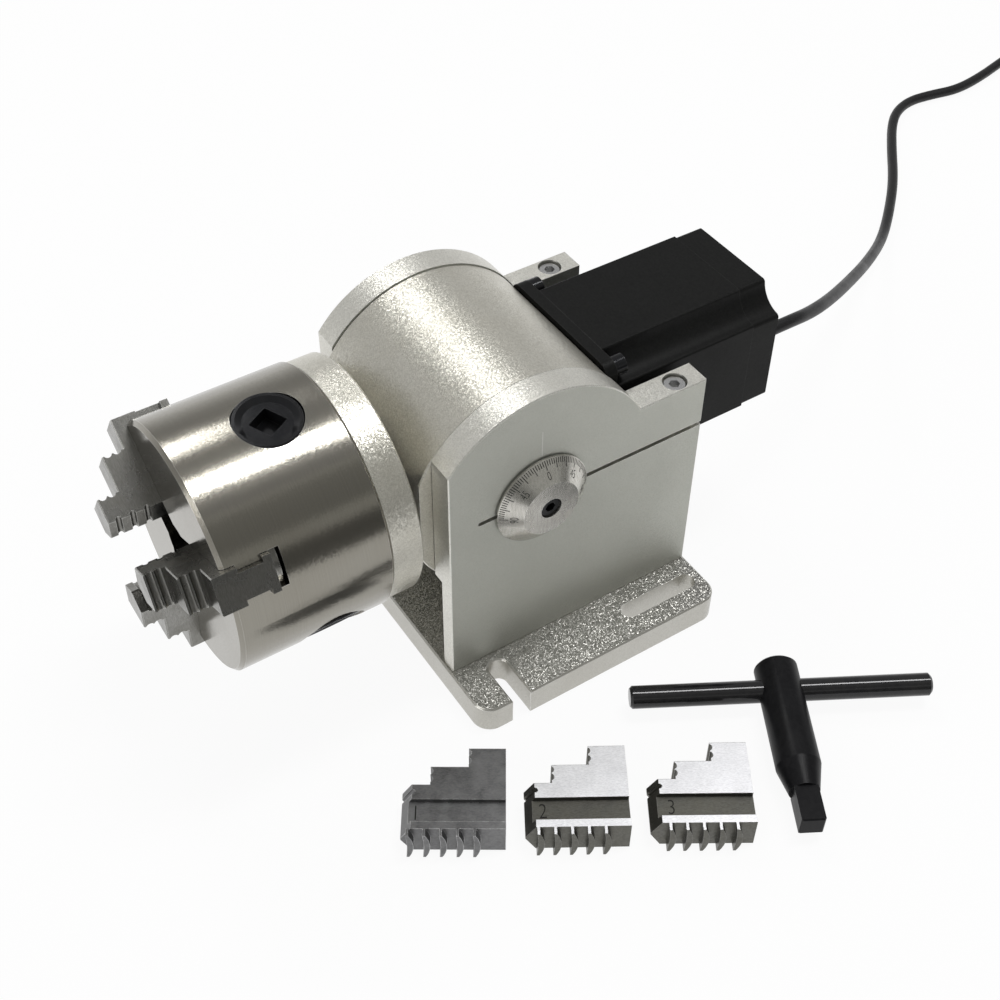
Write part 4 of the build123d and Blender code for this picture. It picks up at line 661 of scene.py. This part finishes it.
def joinMeshes(name, meshes, materials):
    bm = bmesh.new()
    for index, mesh in enumerate(meshes):
        first = len(bm.faces)
        bm.from_mesh(mesh)
        bm.faces.ensure_lookup_table()
        for face in bm.faces[first:]:
            face.material_index = min(index, len(materials) - 1)
    joined = bpy.data.meshes.new(name)
    bm.to_mesh(joined)
    bm.free()
    for material in materials:
        joined.materials.append(material)
    return tidyMesh(joined)


def makeConnector(s):
    start = Vector(motorCable["route"][-1]) + coilAhead * s["start"]
    start.z = s["height"]
    scaled = {k: [(a * mm, r * mm) for a, r in s[k]] for k in ("boot", "shell", "pinProfile")}
    parts = [turnedPiece("boot", start, coilAhead, scaled["boot"], s["bootSides"]),
             turnedPiece("shell", start, coilAhead, scaled["shell"], s["shellSides"], [s["knurl"]])]
    _, aside, other = axesAlong(coilAhead)
    for k in range(s["pins"]):
        turn = 2 * math.pi * (k + 0.5) / s["pins"]
        spot = start + (aside * math.cos(turn) + other * math.sin(turn)) * s["pinCircle"] * mm
        parts.append(turnedPiece("pin", spot, coilAhead, scaled["pinProfile"], s["pinSides"]))
    mesh = joinMeshes("cableConnector", parts,
                      [finishes["mouldedBlack"], finishes["turnedSteel"], finishes["brightScrew"]])
    return linkPiece("cableConnector", mesh)


connector = makeConnector(cableConnector)
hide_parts("cable_plug")
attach(connector, "base")

coilTie = {"angle": -2.2, "width": 7 * mm, "thickness": 0.35 * mm, "gap": 0.15 * mm, "corner": 2.9 * mm,
           "cornerSteps": 6, "lowest": 0.02 * mm, "sharpAngle": 50}


def makeTie(s):
    # a strap round the bundle
    radiusMiddle = motorCable["coilOuter"] - motorCable["coilPitch"]
    spoke = -coilAside * math.cos(s["angle"]) - coilAhead * math.sin(s["angle"])
    forward = Vector((-spoke.y, spoke.x, 0))
    halfBand = motorCable["coilPitch"] + motorCable["diameter"] / 2 + s["gap"]
    low = motorCable["coilLow"] - motorCable["diameter"] / 2 - s["gap"]
    high = motorCable["coilHigh"] + motorCable["diameter"] / 2 + s["gap"]
    middle = (low + high) / 2
    halfHigh = (high - low) / 2
    points, faces = [], []
    loops = []
    for reach in (-0.5, 0.5):
        for grow in (0.0, s["thickness"]):
            loop = []
            for cornerX, cornerZ, first in ((1, 1, 0), (-1, 1, 90), (-1, -1, 180), (1, -1, 270)):
                for step in range(s["cornerSteps"] + 1):
                    turn = math.radians(first + step * 90 / s["cornerSteps"])
                    a = cornerX * (halfBand - s["corner"]) + math.cos(turn) * (s["corner"] + grow)
                    z = cornerZ * (halfHigh - s["corner"]) + math.sin(turn) * (s["corner"] + grow)
                    spot = coilCentre + spoke * (radiusMiddle + a) + forward * (reach * s["width"])
                    loop.append(len(points))
                    points.append(Vector((spot.x, spot.y, max(s["lowest"], middle + z))))
            loops.append(loop)
    inner0, outer0, inner1, outer1 = loops
    count = len(inner0)
    for k in range(count):
        n = (k + 1) % count
        faces.append((outer0[k], outer0[n], outer1[n], outer1[k]))
        faces.append((inner0[k], inner1[k], inner1[n], inner0[n]))
        faces.append((inner0[k], inner0[n], outer0[n], outer0[k]))
        faces.append((inner1[k], outer1[k], outer1[n], inner1[n]))
    mesh = tidyMesh(meshFrom("coilTie", points, faces), s["sharpAngle"])
    return linkPiece("coilTie", mesh, finishes["mouldedBlack"])


tie = makeTie(coilTie)
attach(tie, "base")
print("cable, connector and tie made")

# dial marks
dialMarks = {
    "pivotHeight": 93.4, "rimX": 50.5, "rimRadius": 20.4, "slopeX": 0.6, "slopeRadius": -0.8,
    "step": 3, "reach": 90, "longEvery": 5, "start": 0.35, "short": 2.5, "long": 4.1,
    "width": 0.32, "proud": 0.03, "sunk": 0.12,
    "numbers": [(0, "0"), (45, "45"), (-45, "45"), (90, "90"), (-90, "90")],
    "numberAt": 6.5, "numberSize": 4.8, "numberNarrow": 0.68,
}


def onDial(s, angle, down, height=0.0, aside=0.0):
    # a point on the dial's cone: angle from straight up towards the chuck, distance down the slope
    radius = s["rimRadius"] + s["slopeRadius"] * down + s["slopeX"] * height
    x = s["rimX"] + s["slopeX"] * down - s["slopeRadius"] * height
    turn = math.radians(angle)
    spoke = Vector((0, -math.sin(turn), math.cos(turn)))
    tangent = Vector((0, -math.cos(turn), -math.sin(turn)))
    point = Vector((x, 0, s["pivotHeight"])) + spoke * radius + tangent * aside
    return point * mm


stampText = {"thin": 0.012, "resolution": 6, "weld": 1e-5}


def textMesh(words, size, depth, s=stampText):
    curve = bpy.data.curves.new("stamp", "FONT")
    curve.body = words
    curve.size = size
    curve.align_x = "CENTER"
    curve.align_y = "CENTER"
    curve.extrude = depth / 2
    curve.offset = -s["thin"] * size
    curve.resolution_u = s["resolution"]
    mesh = meshFromCurve("stamp", curve)
    bm = bmesh.new()
    bm.from_mesh(mesh)
    bmesh.ops.remove_doubles(bm, verts=bm.verts, dist=s["weld"] * size)
    bm.to_mesh(mesh)
    bm.free()
    return mesh


def makeDialMarks(s):
    points, faces = [], []
    for number, angle in enumerate(range(-s["reach"], s["reach"] + 1, s["step"])):
        end = s["long"] if number % s["longEvery"] == 0 else s["short"]
        corners = []
        for down in (s["start"], end):
            for aside in (-s["width"] / 2, s["width"] / 2):
                for height in (-s["sunk"], s["proud"]):
                    corners.append(len(points))
                    points.append(onDial(s, angle, down, height, aside))
        a, b, c, d, e, f, g, h = corners
        faces += [(a, b, d, c), (e, g, h, f), (a, e, f, b), (c, d, h, g), (b, f, h, d), (a, c, g, e)]
    meshes = [meshFrom("ticks", points, faces)]
    for angle, words in s["numbers"]:
        mesh = textMesh(words, s["numberSize"], s["proud"] + s["sunk"])
        for v in mesh.vertices:
            across, up, high = v.co.x * s["numberNarrow"], v.co.y, v.co.z
            down = s["numberAt"] - up
            radius = s["rimRadius"] + s["slopeRadius"] * down
            height = s["proud"] if high > 0 else -s["sunk"]
            v.co = onDial(s, angle - math.degrees(across / radius), down, height)
        meshes.append(mesh)
    return linkPiece("dialMarks", joinMeshes("dialMarks", meshes, [finishes["stampedInk"]]))


marks = makeDialMarks(dialMarks)
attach(marks, "tilt_head")

indexLine = {"from": 21.2, "to": 33.5, "width": 0.28, "proud": 0.025, "sunk": 0.1}


def makeIndexLine(s):
    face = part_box("cheek_right")[1].x
    bottom = dialMarks["pivotHeight"] + s["from"]
    top = dialMarks["pivotHeight"] + s["to"]
    points = [(face + x * mm, y * mm, z * mm) for x in (-s["sunk"], s["proud"])
              for y in (-s["width"] / 2, s["width"] / 2) for z in (bottom, top)]
    faces = [(0, 1, 3, 2), (4, 6, 7, 5), (0, 4, 5, 1), (2, 3, 7, 6), (1, 5, 7, 3), (0, 2, 6, 4)]
    return linkPiece("indexLine", tidyMesh(meshFrom("indexLine", points, faces)), finishes["scribedLine"])


index = makeIndexLine(indexLine)
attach(index, "base")
print("dial marks and index line made")

# numbers stamped in the spare jaws
jawNumbers = {
    "turns": (57.1, 58.5, 58.0), "places": ((91.0, -89.5), (115.8, -49.8), (139.8, -8.8)),
    "along": (5.6, 6.8, 8.2), "down": 10.0, "grooveTop": 5.0, "floor": 12.7, "size": 9.4, "narrow": 0.74,
    "proud": 0.03, "sunk": 0.12,
}


def stampJaw(number, s):
    turn = math.radians(s["turns"][number - 1])
    placeX, placeY = s["places"][number - 1]
    ahead = Vector((math.cos(turn), math.sin(turn), 0))
    down = Vector((math.sin(turn), -math.cos(turn), 0))
    origin = Vector((placeX, placeY, 0)) - down * s["grooveTop"]
    mesh = textMesh(str(number), s["size"], s["proud"] + s["sunk"])
    for v in mesh.vertices:
        height = s["proud"] if v.co.z > 0 else -s["sunk"]
        spot = origin + ahead * (s["along"][number - 1] + v.co.x * s["narrow"]) + down * (s["down"] - v.co.y)
        v.co = Vector((spot.x, spot.y, s["floor"] + height)) * mm
    piece = linkPiece(f"jawNumber{number}", tidyMesh(mesh), finishes["stampedInk"])
    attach(piece, f"spare_jaw_{number}")


for jawNumber in (1, 2, 3):
    stampJaw(jawNumber, jawNumbers)
print("spare jaws numbered")

# bench, room and lamps
def emptyMaterial(name):
    material = bpy.data.materials.new(name)
    material.use_nodes = True
    material.node_tree.nodes.clear()
    return material, material.node_tree


bench = {"half": 6.0, "dark": (0.88, 0.88, 0.88), "light": (0.92, 0.92, 0.92), "paperScale": 60.0,
         "glow": 0.93, "drop": 0.3 * mm}


def makeBench(s):
    # white where a camera or a reflection sees it, a plain matte floor for the light
    mesh = meshFrom("bench", [(-s["half"], -s["half"], -s["drop"]), (s["half"], -s["half"], -s["drop"]),
                              (s["half"], s["half"], -s["drop"]), (-s["half"], s["half"], -s["drop"])],
                    [(0, 1, 2, 3)])
    material, tree = emptyMaterial("benchWhite")
    paper = put(tree, "ShaderNodeTexNoise", -900, 200, None, Scale=s["paperScale"], Detail=4.0).outputs[0]
    patches = spread(tree, paper, 0.3, 0.7, 0.0, 1.0, -700, 200)
    tone = mixColour(tree, patches, (*s["dark"], 1), (*s["light"], 1), -500, 200)
    matte = put(tree, "ShaderNodeBsdfDiffuse", -200, 200, None, Color=tone).outputs[0]
    glow = put(tree, "ShaderNodeEmission", -200, 0, None, Color=(1, 1, 1, 1), Strength=1.0).outputs[0]
    rays = put(tree, "ShaderNodeLightPath", -900, -200)
    seen = math2(tree, "MAXIMUM", rays.outputs["Is Camera Ray"], rays.outputs["Is Glossy Ray"], -700, -200)
    seen = math2(tree, "MAXIMUM", seen, rays.outputs["Is Transmission Ray"], -500, -200)
    share = math2(tree, "MULTIPLY", seen, s["glow"], -350, -200)
    blend = put(tree, "ShaderNodeMixShader", 100, 100, None, i0=share, i1=matte, i2=glow).outputs[0]
    end = put(tree, "ShaderNodeOutputMaterial", 300, 100)
    tree.links.new(blend, end.inputs["Surface"])
    floor = linkPiece("bench", mesh, material)


makeBench(bench)

room = {"low": 0.74, "middle": 0.40, "middleAt": 0.35, "high": 0.42, "window": (-0.95, -0.3, 0.0),
        "leftGain": 0.18, "strength": 1.0}


def lightRoom(s):
    # a pale room, brighter on the side of the window
    world = bpy.data.worlds.new("room")
    scene.world = world
    world.use_nodes = True
    tree = world.node_tree
    tree.nodes.clear()
    where = put(tree, "ShaderNodeTexCoord", -900, 200).outputs["Generated"]
    height = put(tree, "ShaderNodeSeparateXYZ", -700, 200, None, i0=where).outputs[2]
    ramp = put(tree, "ShaderNodeValToRGB", -500, 200, None, Fac=height)
    bands = ramp.color_ramp.elements
    bands[0].position, bands[0].color = 0.0, (s["low"], s["low"], s["low"], 1)
    bands[1].position, bands[1].color = 1.0, (s["high"], s["high"], s["high"], 1)
    middle = bands.new(s["middleAt"])
    middle.color = (s["middle"], s["middle"], s["middle"], 1)
    side = put(tree, "ShaderNodeVectorMath", -700, -100, {"operation": "DOT_PRODUCT"}, i0=where,
               i1=s["window"]).outputs["Value"]
    gain = spread(tree, side, -1.0, 1.0, 1 - s["leftGain"], 1 + s["leftGain"], -500, -100)
    tone = put(tree, "ShaderNodeVectorMath", -200, 100, {"operation": "SCALE"}, i0=ramp.outputs["Color"],
               Scale=gain).outputs[0]
    sky = put(tree, "ShaderNodeBackground", 0, 100, None, Color=tone, Strength=s["strength"]).outputs[0]
    end = put(tree, "ShaderNodeOutputWorld", 200, 100)
    tree.links.new(sky, end.inputs["Surface"])


lightRoom(room)

lamps = {
    "overhead": {"at": (0.10, 0.45, 1.75), "toward": (0.0, 0.0, 0.10), "size": (0.30, 0.8), "power": 12.0},
    "left": {"at": (-1.0, 0.09, 1.32), "toward": (0.0, 0.0, 0.10), "size": (0.34, 0.44), "power": 3.8},
    "front": {"at": (0.1, -1.6, 0.9), "toward": (0.0, 0.0, 0.08), "size": (1.0, 0.7), "power": 5.0},
}


def hangLamp(name, s):
    data = bpy.data.lights.new(name, "AREA")
    data.shape = "RECTANGLE"
    data.size, data.size_y = s["size"]
    data.energy = s["power"]
    lamp = bpy.data.objects.new(name, data)
    scene.collection.objects.link(lamp)
    lamp.location = s["at"]
    aim = Vector(s["toward"]) - Vector(s["at"])
    lamp.rotation_euler = aim.to_track_quat("-Z", "Y").to_euler()


flag = {"x": 0.6, "from": -1.1, "to": 1.7, "top": 1.15, "warmth": 0.96,
        "bands": [(0.0, 0.14), (0.19, 0.14), (0.25, 0.5), (0.31, 0.5), (0.37, 0.27), (0.8, 0.33), (1.0, 0.6)]}


def standFlag(s):
    # a card of grey bands to the right, seen only in reflections
    mesh = meshFrom("flag", [(s["x"], s["from"], 0), (s["x"], s["to"], 0), (s["x"], s["to"], s["top"]),
                             (s["x"], s["from"], s["top"])], [(0, 1, 2, 3)])
    material, tree = emptyMaterial("flagGrey")
    place = put(tree, "ShaderNodeTexCoord", -900, 200).outputs["Object"]
    height = put(tree, "ShaderNodeSeparateXYZ", -700, 200, None, i0=place).outputs[2]
    share = math2(tree, "DIVIDE", height, s["top"], -500, 200)
    ramp = put(tree, "ShaderNodeValToRGB", -300, 200, None, Fac=share)
    bands = ramp.color_ramp.elements
    while len(bands) < len(s["bands"]):
        bands.new(0.5)
    for band, (spot, tone) in zip(bands, s["bands"]):
        band.position = spot
        band.color = (tone, tone, tone * s["warmth"], 1)
    glow = put(tree, "ShaderNodeEmission", 0, 200, None, Color=ramp.outputs["Color"], Strength=1.0).outputs[0]
    end = put(tree, "ShaderNodeOutputMaterial", 200, 200)
    tree.links.new(glow, end.inputs["Surface"])
    card = linkPiece("flag", mesh, material)
    card.visible_camera = False
    card.visible_diffuse = False
    card.visible_shadow = False
    card.visible_transmission = False


standFlag(flag)
for lampName, lampSet in lamps.items():
    hangLamp(lampName + "Lamp", lampSet)
print("bench and lamps set")
